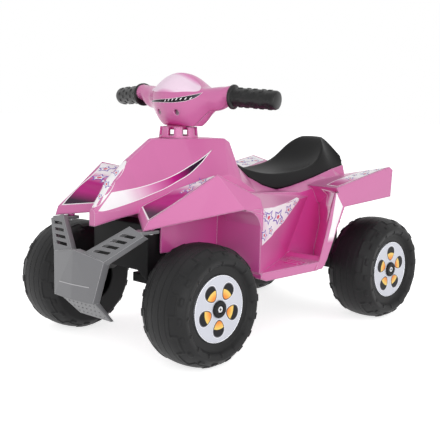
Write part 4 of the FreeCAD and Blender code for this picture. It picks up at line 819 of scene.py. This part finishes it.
def tyre_faces(shape, inside):
    """Outer faces of the tyre that inside picks by their place across, radius and step of the turn."""
    found = []
    for face in shape.faces:
        middle = face.calc_center_median()
        radius = Vector((middle.y, middle.z)).length
        outward = face.normal.dot(Vector((0, middle.y, middle.z))) > 0 or middle.x > tyre_side_x * MM
        turn = int((math.atan2(middle.z, middle.y) + math.pi) / (2 * math.pi) * tyre_turns) % tyre_turns
        if outward and inside(middle.x / MM, radius / MM, turn):
            found.append(face)
    return found


def zig_zag(x, radius, turn):
    """A thin stepped line round each shoulder."""
    beat = turn % line_beat
    low, high = line_near if beat < line_crossings[0] else line_far
    if beat in line_crossings:
        low = line_near[0]
    return radius >= line_least_radius and low < abs(x) < high


def shoulder_block(x, radius, turn):
    """Short blocks outside the stepped line."""
    low, high = shoulder_band
    return low < abs(x) < high and radius > shoulder_least_radius and turn % shoulder_beat < shoulder_width


def rim_bump(x, radius, turn):
    """Small bumps round the rim of the outer side."""
    return x > tyre_side_x and rim_band[0] < radius < rim_band[1] and turn % rim_beat == 0


# Raised forms of the tyre and their height as a share of the tread's depth
tread_patterns = ((zig_zag, 1.0), (shoulder_block, 1.5), (rim_bump, 1.0))


def wheel_profile(profile):
    """Points of a profile across and out from the axle, in metres."""
    return [Vector((x, 0.0, radius)) * MM for x, radius in profile]


def tyre_shape():
    """A wide blow-moulded tyre about X with a smooth middle, its outer side towards +X."""
    tread = [(-x, r) for x, r in reversed(tread_half[1:])] + tread_half
    shape = spun(wheel_profile(tread + tyre_side), (1, 0, 0), tyre_turns, closed=True)
    for pattern, share in tread_patterns:
        bmesh.ops.inset_region(shape, faces=tyre_faces(shape, pattern), thickness=tread_edge,
                               depth=sizes().tread_depth * share, use_even_offset=True)
    smooth(shape, tread_sharp_degrees)
    return shape


# Wheel discs

window_count = 5
window_points = 32
window_middle = 31.7
window_half_length = 13.2
window_half_width = 11.6
window_narrowing = 0.2
# The windows' inks lie on the disc one above the other: ink and size as a share of the window
# The rim ink's pale ring round each window is a painted highlight on the window's edge
disc_inks = (("rim", 1.2), ("shade", 1.1), ("black", 1.0), ("glow", 0.95))
disc_face_x = 40.52
disc_ink_step = 0.1
glow_edge = window_middle + 1.5
glow_bow = 0.02
glow_orange_until = 0.022
glow_yellow_from = 0.031
lip_profile = [(39.5, 53.2), (40.9, 53.4), (41.2, 54.0), (40.9, 54.6), (39.5, 54.8)]
lip_turns = 96
lip_sharp_degrees = 50
# A black cross on each axle screw's head is painted shade for its recess
recess_shade_bars = ((0.3, 5.0, 1.3), (0.3, 1.3, 5.0))
recess_shade_lift = 0.1 * MM
first_window_turns = {"front_left": math.pi, "rear_left": 0.0, "front_right": math.pi, "rear_right": 0.0}


def on_wheel(shape, middle, side):
    """Carry a shape made round X onto a wheel, mirrored on the rider's right."""
    place = Matrix.Translation(middle) @ Matrix.Scale(side, 4, Vector((1, 0, 0)))
    bmesh.ops.transform(shape, matrix=place, verts=shape.verts[:])
    if side < 0:
        bmesh.ops.reverse_faces(shape, faces=shape.faces[:])


def window_outline(scale):
    """Outline of one disc window in millimetres: an egg whose narrow end points to the hub."""
    points = []
    for k in range(window_points):
        angle = 2 * math.pi * k / window_points
        across = window_half_width * math.sin(angle) * (1.0 - window_narrowing * math.cos(angle))
        points.append((window_middle - window_half_length * math.cos(angle) * scale, across * scale))
    return points


def add_window(shape, outline, x, turn):
    """Add one window to a disc's print, turned round the axle."""
    turned = Matrix.Rotation(turn, 3, "X")
    places = [turned @ Vector((x, across, out)) * MM for out, across in outline]
    face = shape.faces.new([shape.verts.new(place) for place in places])
    face.normal_update()
    if face.normal.x < 0:
        face.normal_flip()


def glow_finish(name, middle):
    """Orange ink near the hub and yellow further out, round one wheel's axis."""
    hues = colours()
    material, tree, place = new_surface("Disc window glow " + name)
    moved = node(tree, "ShaderNodeVectorMath", {0: place, 1: tuple(middle)}, operation="SUBTRACT")
    flat = node(tree, "ShaderNodeVectorMath", {0: moved.outputs["Vector"], 1: (0.0, 1.0, 1.0)},
                operation="MULTIPLY")
    reach = node(tree, "ShaderNodeVectorMath", {0: flat.outputs["Vector"]}, operation="LENGTH")
    share = node(tree, "ShaderNodeMapRange", {"Value": reach.outputs["Value"], "From Min": glow_orange_until,
                                              "From Max": glow_yellow_from})
    fade = node(tree, "ShaderNodeValToRGB", {"Fac": share.outputs["Result"]})
    fade.color_ramp.elements[0].color = hues.print_orange
    fade.color_ramp.elements[1].color = hues.print_yellow
    show_surface(tree, {"Base Color": fade.outputs["Color"], "Roughness": 0.3})
    return material


def make_disc_print(name, body, middle, side):
    """Five two-tone windows printed on a wheel disc."""
    for level, (ink, scale) in enumerate(disc_inks):
        outline = window_outline(scale)
        if ink == "glow":
            outline = [(min(out, glow_edge - glow_bow * across ** 2), across) for out, across in outline]
            finish = glow_finish(name, middle)
        else:
            finish = materials["disc_" + ink]
        shape = bmesh.new()
        for k in range(window_count):
            turn = first_window_turns[name] + 2 * math.pi * k / window_count
            add_window(shape, outline, disc_face_x + level * disc_ink_step, turn)
        on_wheel(shape, middle, side)
        new_piece(name + "_" + ink, shape, [finish], body)


def make_disc_lip(name, body, middle, side):
    """The thin bright lip round a wheel disc."""
    shape = spun(wheel_profile(lip_profile), (1, 0, 0), lip_turns, closed=True)
    on_wheel(shape, middle, side)
    smooth(shape, lip_sharp_degrees)
    new_piece(name + "_lip", shape, [materials["bright"]], body)


def make_screw_recess_shade(name, body, middle, side):
    """Painted shade: a black cross laid on the head of the screw at a wheel's middle, where its cross recess
    lies in shade.
    """
    front = name.startswith("front")
    low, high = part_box(name + "_axle_screw" if front else "rear_axle_screws")
    face_x = high[0] if side > 0 else low[0]
    shape = bmesh.new()
    for size in recess_shade_bars:
        add_bar(shape, size, (face_x + side * recess_shade_lift, middle[1], middle[2]))
    carrier = body if front else "chassis"
    new_piece(name + "_screw_cross", shape, [materials["black"]], carrier)


def make_wheels():
    """Treaded tyres and printed discs of the four wheels."""
    # The pale rim ring is a painted highlight on the windows' edges
    materials["disc_rim"] = plain_vinyl("Pale ink on disc", colour("EDEDF3"))
    materials["disc_shade"] = plain_vinyl("Grey ink on disc", colour("77777F"))
    materials["disc_black"] = plain_vinyl("Black ink on disc", colour("1F1F22"))
    for name in first_window_turns:
        side = 1 if name.endswith("left") else -1
        low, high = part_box(name + "_tyre")
        middle = (Vector(low) + Vector(high)) / 2
        body = name + "_wheel"
        shape = tyre_shape()
        on_wheel(shape, middle, side)
        new_piece(name + "_tread", shape, [materials["tyre"]], body, [name + "_tyre"])
        make_disc_print(name, body, middle, side)
        make_disc_lip(name, body, middle, side)
        make_screw_recess_shade(name, body, middle, side)


# Seat

# Seat sections: place along the bike, pan height, rim half width and height, foot half width and height
seat_sections = [
    (-22.7, 309.1, 44.0, 311.0, 49.0, 304.6),
    (-1.7, 294.0, 48.0, 300.0, 53.0, 286.1),
    (32.5, 283.9, 56.0, 291.1, 63.1, 268.1),
    (66.7, 280.1, 60.0, 288.0, 69.0, 258.0),
    (107.5, 280.1, 61.0, 289.0, 69.9, 263.0),
    (147.7, 282.0, 61.0, 292.1, 69.0, 270.0),
    (193.3, 289.0, 59.0, 300.0, 67.9, 278.9),
    (220.3, 307.9, 54.0, 319.9, 66.9, 284.9),
    (239.5, 336.0, 45.0, 340.3, 66.1, 289.2),
    (255.7, 356.2, 19.8, 356.2, 64.8, 291.7),
    (272.5, 352.3, 25.2, 348.0, 63.2, 294.1),
    (285.7, 318.0, 57.1, 313.0, 62.0, 295.9),
]
seat_side_bulge = 1.5
seat_pan_share = 0.62
seat_pan_rise = 0.3
# Corners of a section along which the rim and the foot run, and how sharp they stay
seat_rim_corners = (2, 6)
seat_foot_corners = (0, 8)
seat_rim_crease = 0.75
seat_foot_crease = 1.0
seat_end_crease = 0.55
seat_rounding = 3
seat_wall = 3.0 * MM


def make_seat():
    """The saddle: a smooth pan inside a thin rim, sides down to the seat base."""
    shape = bmesh.new()
    crease = shape.edges.layers.float.new("crease_edge")
    rings = []
    chains = []
    for y, pan, rim_x, rim_z, foot_x, foot_z in seat_sections:
        half = [(foot_x, foot_z), ((foot_x + rim_x) / 2 + seat_side_bulge, (foot_z + rim_z) / 2),
                (rim_x, rim_z), (rim_x * seat_pan_share, pan + (rim_z - pan) * seat_pan_rise), (0.0, pan)]
        full = half + [(-x, z) for x, z in reversed(half[:-1])]
        verts = [shape.verts.new((x * MM, y * MM, z * MM)) for x, z in full]
        rings.append(verts)
        chains.append([shape.edges.new(pair) for pair in zip(verts, verts[1:])])
    for near, far in zip(chains, chains[1:]):
        bmesh.ops.bridge_loops(shape, edges=near + far)
    for ring in (rings[0], rings[-1]):
        shape.faces.new(ring)
    bmesh.ops.recalc_face_normals(shape, faces=shape.faces[:])
    spots = {vert: (k, corner) for k, verts in enumerate(rings) for corner, vert in enumerate(verts)}
    for edge in shape.edges:
        (ring, corner), (other_ring, other_corner) = (spots[vert] for vert in edge.verts)
        along = ring != other_ring and corner == other_corner
        if along and corner in seat_rim_corners:
            edge[crease] = seat_rim_crease
        elif along and corner in seat_foot_corners:
            edge[crease] = seat_foot_crease
        elif ring == other_ring and ring in (0, len(rings) - 1):
            edge[crease] = seat_end_crease
    for face in shape.faces:
        face.smooth = True
    piece = new_piece("saddle", shape, [materials["seat"]], "chassis", ["seat"])
    rounding = piece.modifiers.new("Rounding", "SUBSURF")
    rounding.levels = seat_rounding
    rounding.render_levels = seat_rounding
    wall = piece.modifiers.new("Wall", "SOLIDIFY")
    wall.thickness = seat_wall
    wall.offset = -1.0


# Studs and ribs

bumper_rib_outline = [(-37, -358, 122.4), (41, -358, 124.6), (41, -358, 126.0), (-37, -358, 123.8)]
bumper_rib_normal = (0, -1, 0.08)
bumper_rib_cell = 0.004
rib_lift = 0.6 * MM
# Footboard ribs in millimetres: place along the bike and inner end
footboard_ribs = ((8, 142), (20, 137), (32, 132))
footboard_z = 136.0
rib_outer_x = 172.0
rib_width = 3.4
rib_height = 3.0
rib_middle_z = footboard_z + 1.0
rib_bevel = 0.4 * MM
# Places near the studs in millimetres, on the rider's left footboard and on the bumper's skid
footboard_studs = [(172 - 9 * column, -6 - 12 * row + 4 * (column % 2), 150)
                   for row in range(3) for column in range(5)]
skid_studs = [(-33 + 11 * column, -345 + 11 * row, 84 - 10 * row) for row in range(3) for column in range(7)]
skid_normal = (0, -0.65, -0.76)
# How far a ray looks for a stud's surface in metres, and how squarely that has to face the ray
stud_reach = 0.08
stud_facing = 0.7
stud_flatness = 0.6
stud_sharp_degrees = 60


def make_footboard_ribs():
    """Three low bars across each footboard behind its studs."""
    shape = bmesh.new()
    for side in (1, -1):
        for y, inner_x in footboard_ribs:
            middle = mirrored(((rib_outer_x + inner_x) / 2, y, rib_middle_z), side) * MM
            add_bar(shape, (rib_outer_x - inner_x, rib_width, rib_height), middle)
    edges = [edge for edge in shape.edges if min(vert.co.z for vert in edge.verts) > footboard_z * MM]
    bmesh.ops.bevel(shape, geom=edges, offset=rib_bevel, segments=1, affect="EDGES", profile=0.5, material=-1)
    new_piece("footboard_ribs", shape, [materials["pink"]], "chassis")


def make_stud_field(name, tree, places, direction, finish):
    """Low domes pressed onto a surface near some places, where the surface is there."""
    direction = Vector(direction).normalized()
    flat = Matrix.Scale(stud_flatness, 4, direction)
    shape = bmesh.new()
    for place in places:
        start = Vector(place) * MM + direction * ray_start
        hit, normal = tree.ray_cast(start, -direction, stud_reach)[:2]
        if hit is not None and normal.dot(direction) >= stud_facing:
            made = bmesh.ops.create_icosphere(shape, subdivisions=2, radius=sizes().stud)
            bmesh.ops.transform(shape, matrix=Matrix.Translation(hit) @ flat, verts=made["verts"])
    smooth(shape, stud_sharp_degrees)
    new_piece(name, shape, [materials[finish]], "chassis")


def make_studs():
    """Grip studs on the footboards and on the bumper's skid, and the raised rib above the skid, painted
    lighter as a highlight.
    """
    places = [mirrored(place, side) for side in (1, -1) for place in footboard_studs]
    make_stud_field("footboard_studs", surface_of("body_shell"), places, (0, 0, 1), "pink")
    skid = surface_of("front_bumper")
    # The rib is real, and its lighter grey is a painted highlight along it
    light = moulded_plastic("Grey polypropylene, polished rib", colour("BDBCBF"), roughness=0.35, coat=0.1,
                            grain_mm=0.8, grain_depth_mm=0.02)
    decal("bumper_rib", bumper_rib_outline, bumper_rib_normal, 1, skid, [light], 0.0, rib_lift,
          bumper_rib_cell, "chassis")
    make_stud_field("skid_studs", skid, skid_studs, skid_normal, "grey")


# Stage

white_light = (1.0, 1.0, 1.0, 1.0)
paper_white = (0.9, 0.9, 0.9, 1.0)
surroundings_strength = 0.62
floor_glow = 0.72
floor_reach = 12.0
# Lamps: name, place, target, size and power
lamps = (
    ("Key", (1.0, -1.5, 1.9), (0.0, -0.1, 0.2), 1.4, 2.5),
    ("Top", (-0.2, 0.0, 2.4), (0.0, 0.0, 0.2), 2.0, 3.5),
    ("Fill", (2.0, 0.5, 0.7), (0.0, 0.05, 0.18), 1.6, 9.0),
    ("Side", (1.45, -1.35, 0.5), (0.1, 0.08, 0.18), 1.2, 11.5),
    ("Front", (-1.4, -2.0, 0.9), (0.0, 0.0, 0.2), 1.5, 2.5),
)
# Camera at the photo's angle: degrees, place in millimetres, and focal length in the photo's pixels
camera_yaw = 43.52
camera_pitch = 8.31
camera_roll = 1.40
camera_place = (1116.2, -1190.5, 435.9)
camera_focal_pixels = 862.36
photo_width = 440
sensor_width = 36.0


def seen_or_mirrored(tree):
    """One for rays that show the surroundings: seen, mirrored or through clear plastic."""
    path = node(tree, "ShaderNodeLightPath").outputs
    mirror = node(tree, "ShaderNodeMath", {0: path["Is Glossy Ray"], 1: path["Is Transmission Ray"]},
                  operation="MAXIMUM")
    seen = node(tree, "ShaderNodeMath", {0: path["Is Camera Ray"], 1: mirror.outputs["Value"]},
                operation="MAXIMUM")
    return seen.outputs["Value"]


def make_surroundings():
    """White surroundings that light the bike softly."""
    world = bpy.data.worlds.new("Studio")
    bpy.context.scene.world = world
    world.use_nodes = True
    tree = world.node_tree
    tree.nodes.clear()
    soft = node(tree, "ShaderNodeBackground", {"Color": white_light, "Strength": surroundings_strength})
    white = node(tree, "ShaderNodeBackground", {"Color": white_light, "Strength": 1.0})
    mix = node(tree, "ShaderNodeMixShader", {"Fac": seen_or_mirrored(tree), 1: soft.outputs["Background"],
                                             2: white.outputs["Background"]})
    node(tree, "ShaderNodeOutputWorld", {"Surface": mix.outputs["Shader"]})


def make_floor():
    """A floor of white paper that keeps the bike's shadow."""
    shape = bmesh.new()
    bmesh.ops.create_grid(shape, x_segments=2, y_segments=2, size=floor_reach)
    mesh = bpy.data.meshes.new("studio_floor")
    shape.to_mesh(mesh)
    shape.free()
    floor = bpy.data.objects.new("studio_floor", mesh)
    bpy.context.scene.collection.objects.link(floor)
    material = bpy.data.materials.new("White paper floor")
    material.use_nodes = True
    tree = material.node_tree
    tree.nodes.clear()
    paper = node(tree, "ShaderNodeBsdfDiffuse", {"Color": paper_white})
    bright = node(tree, "ShaderNodeEmission", {"Color": white_light, "Strength": floor_glow})
    lit = node(tree, "ShaderNodeAddShader", {0: paper.outputs["BSDF"], 1: bright.outputs["Emission"]})
    mix = node(tree, "ShaderNodeMixShader", {"Fac": seen_or_mirrored(tree), 1: paper.outputs["BSDF"],
                                             2: lit.outputs["Shader"]})
    node(tree, "ShaderNodeOutputMaterial", {"Surface": mix.outputs["Shader"]})
    mesh.materials.append(material)


def make_lamps():
    """Soft square lamps aimed at the bike."""
    for name, place, target, size, power in lamps:
        lamp = bpy.data.lights.new(name, "AREA")
        lamp.size = size
        lamp.energy = power
        obj = bpy.data.objects.new(name, lamp)
        obj.location = place
        obj.rotation_euler = (Vector(target) - Vector(place)).to_track_quat("-Z", "Y").to_euler()
        bpy.context.scene.collection.objects.link(obj)


def make_camera():
    """The camera at the photo's angle."""
    scene = bpy.context.scene
    yaw, pitch, roll = (math.radians(angle) for angle in (camera_yaw, camera_pitch, camera_roll))
    level = Vector((math.cos(yaw), math.sin(yaw), 0.0))
    back = Vector((math.sin(yaw) * math.cos(pitch), -math.cos(yaw) * math.cos(pitch), math.sin(pitch)))
    upward = back.cross(level)
    right = level * math.cos(roll) + upward * math.sin(roll)
    top = upward * math.cos(roll) - level * math.sin(roll)
    camera = bpy.data.cameras.new("Camera")
    camera.sensor_fit = "HORIZONTAL"
    camera.sensor_width = sensor_width
    camera.lens = sensor_width * camera_focal_pixels / photo_width
    obj = bpy.data.objects.new("Camera", camera)
    turn = Matrix((right, top, back)).transposed().to_4x4()
    obj.matrix_world = Matrix.Translation(Vector(camera_place) * MM) @ turn
    scene.collection.objects.link(obj)
    scene.camera = obj


# Operators

class QUAD_OT_finishes(bpy.types.Operator):
    """Make the materials and give them to the frame's nodes"""
    bl_idname = "quad.finishes"
    bl_label = "Finishes"
    bl_options = {"REGISTER", "UNDO"}

    def execute(self, context):
        make_materials()
        finish_nodes()
        return {"FINISHED"}


class QUAD_OT_prints(bpy.types.Operator):
    """Lay the decals on the body"""
    bl_idname = "quad.prints"
    bl_label = "Body prints"
    bl_options = {"REGISTER", "UNDO"}

    def execute(self, context):
        make_prints()
        return {"FINISHED"}


class QUAD_OT_arches(bpy.types.Operator):
    """Make the plates and rounds of the front wheel arches"""
    bl_idname = "quad.arches"
    bl_label = "Wheel arches"
    bl_options = {"REGISTER", "UNDO"}

    def execute(self, context):
        make_well_plates()
        make_arch_corners()
        return {"FINISHED"}


class QUAD_OT_spring(bpy.types.Operator):
    """Make the pedal's return spring"""
    bl_idname = "quad.spring"
    bl_label = "Pedal spring"
    bl_options = {"REGISTER", "UNDO"}

    def execute(self, context):
        make_return_spring()
        return {"FINISHED"}


class QUAD_OT_handlebar(bpy.types.Operator):
    """Make the block grips, the pod's print and the painted highlight on its dome"""
    bl_idname = "quad.handlebar"
    bl_label = "Handlebar"
    bl_options = {"REGISTER", "UNDO"}

    def execute(self, context):
        make_grips()
        make_pod_print_and_dome_highlight()
        return {"FINISHED"}


class QUAD_OT_wheels(bpy.types.Operator):
    """Make the treaded tyres and the printed discs"""
    bl_idname = "quad.wheels"
    bl_label = "Wheels"
    bl_options = {"REGISTER", "UNDO"}

    def execute(self, context):
        make_wheels()
        return {"FINISHED"}


class QUAD_OT_seat(bpy.types.Operator):
    """Make the smooth saddle"""
    bl_idname = "quad.seat"
    bl_label = "Saddle"
    bl_options = {"REGISTER", "UNDO"}

    def execute(self, context):
        make_seat()
        return {"FINISHED"}


class QUAD_OT_studs(bpy.types.Operator):
    """Put grip studs and ribs on the footboards and the bumper"""
    bl_idname = "quad.studs"
    bl_label = "Studs and ribs"
    bl_options = {"REGISTER", "UNDO"}

    def execute(self, context):
        make_studs()
        make_footboard_ribs()
        return {"FINISHED"}


class QUAD_OT_stage(bpy.types.Operator):
    """Set up the surroundings, floor, lamps and camera"""
    bl_idname = "quad.stage"
    bl_label = "Studio"
    bl_options = {"REGISTER", "UNDO"}

    def execute(self, context):
        context.scene.view_settings.view_transform = "Standard"
        make_surroundings()
        make_floor()
        make_lamps()
        make_camera()
        return {"FINISHED"}


class QUAD_PT_panel(bpy.types.Panel):
    """Lists the steps that dress the bike"""
    bl_idname = "QUAD_PT_panel"
    bl_label = "Quad Bike"
    bl_space_type = "VIEW_3D"
    bl_region_type = "UI"
    bl_category = "Quad Bike"

    def draw(self, context):
        for name in QuadColours.__annotations__:
            self.layout.prop(context.scene.quad_colours, name)
        for name in QuadSizes.__annotations__:
            self.layout.prop(context.scene.quad_sizes, name)
        for step in steps:
            self.layout.operator(step.bl_idname)


steps = (QUAD_OT_finishes, QUAD_OT_prints, QUAD_OT_arches, QUAD_OT_spring, QUAD_OT_handlebar, QUAD_OT_wheels,
         QUAD_OT_seat, QUAD_OT_studs, QUAD_OT_stage)
classes = (QuadColours, QuadSizes) + steps + (QUAD_PT_panel,)


def register():
    for item in classes:
        bpy.utils.register_class(item)
    bpy.types.Scene.quad_colours = bpy.props.PointerProperty(type=QuadColours)
    bpy.types.Scene.quad_sizes = bpy.props.PointerProperty(type=QuadSizes)


def unregister():
    del bpy.types.Scene.quad_sizes
    del bpy.types.Scene.quad_colours
    for item in reversed(classes):
        bpy.utils.unregister_class(item)


def main():
    register()
    bpy.ops.quad.finishes()
    bpy.ops.quad.prints()
    bpy.ops.quad.arches()
    bpy.ops.quad.spring()
    bpy.ops.quad.handlebar()
    bpy.ops.quad.wheels()
    bpy.ops.quad.seat()
    bpy.ops.quad.studs()
    bpy.ops.quad.stage()


if __name__ == "__main__":
    main()
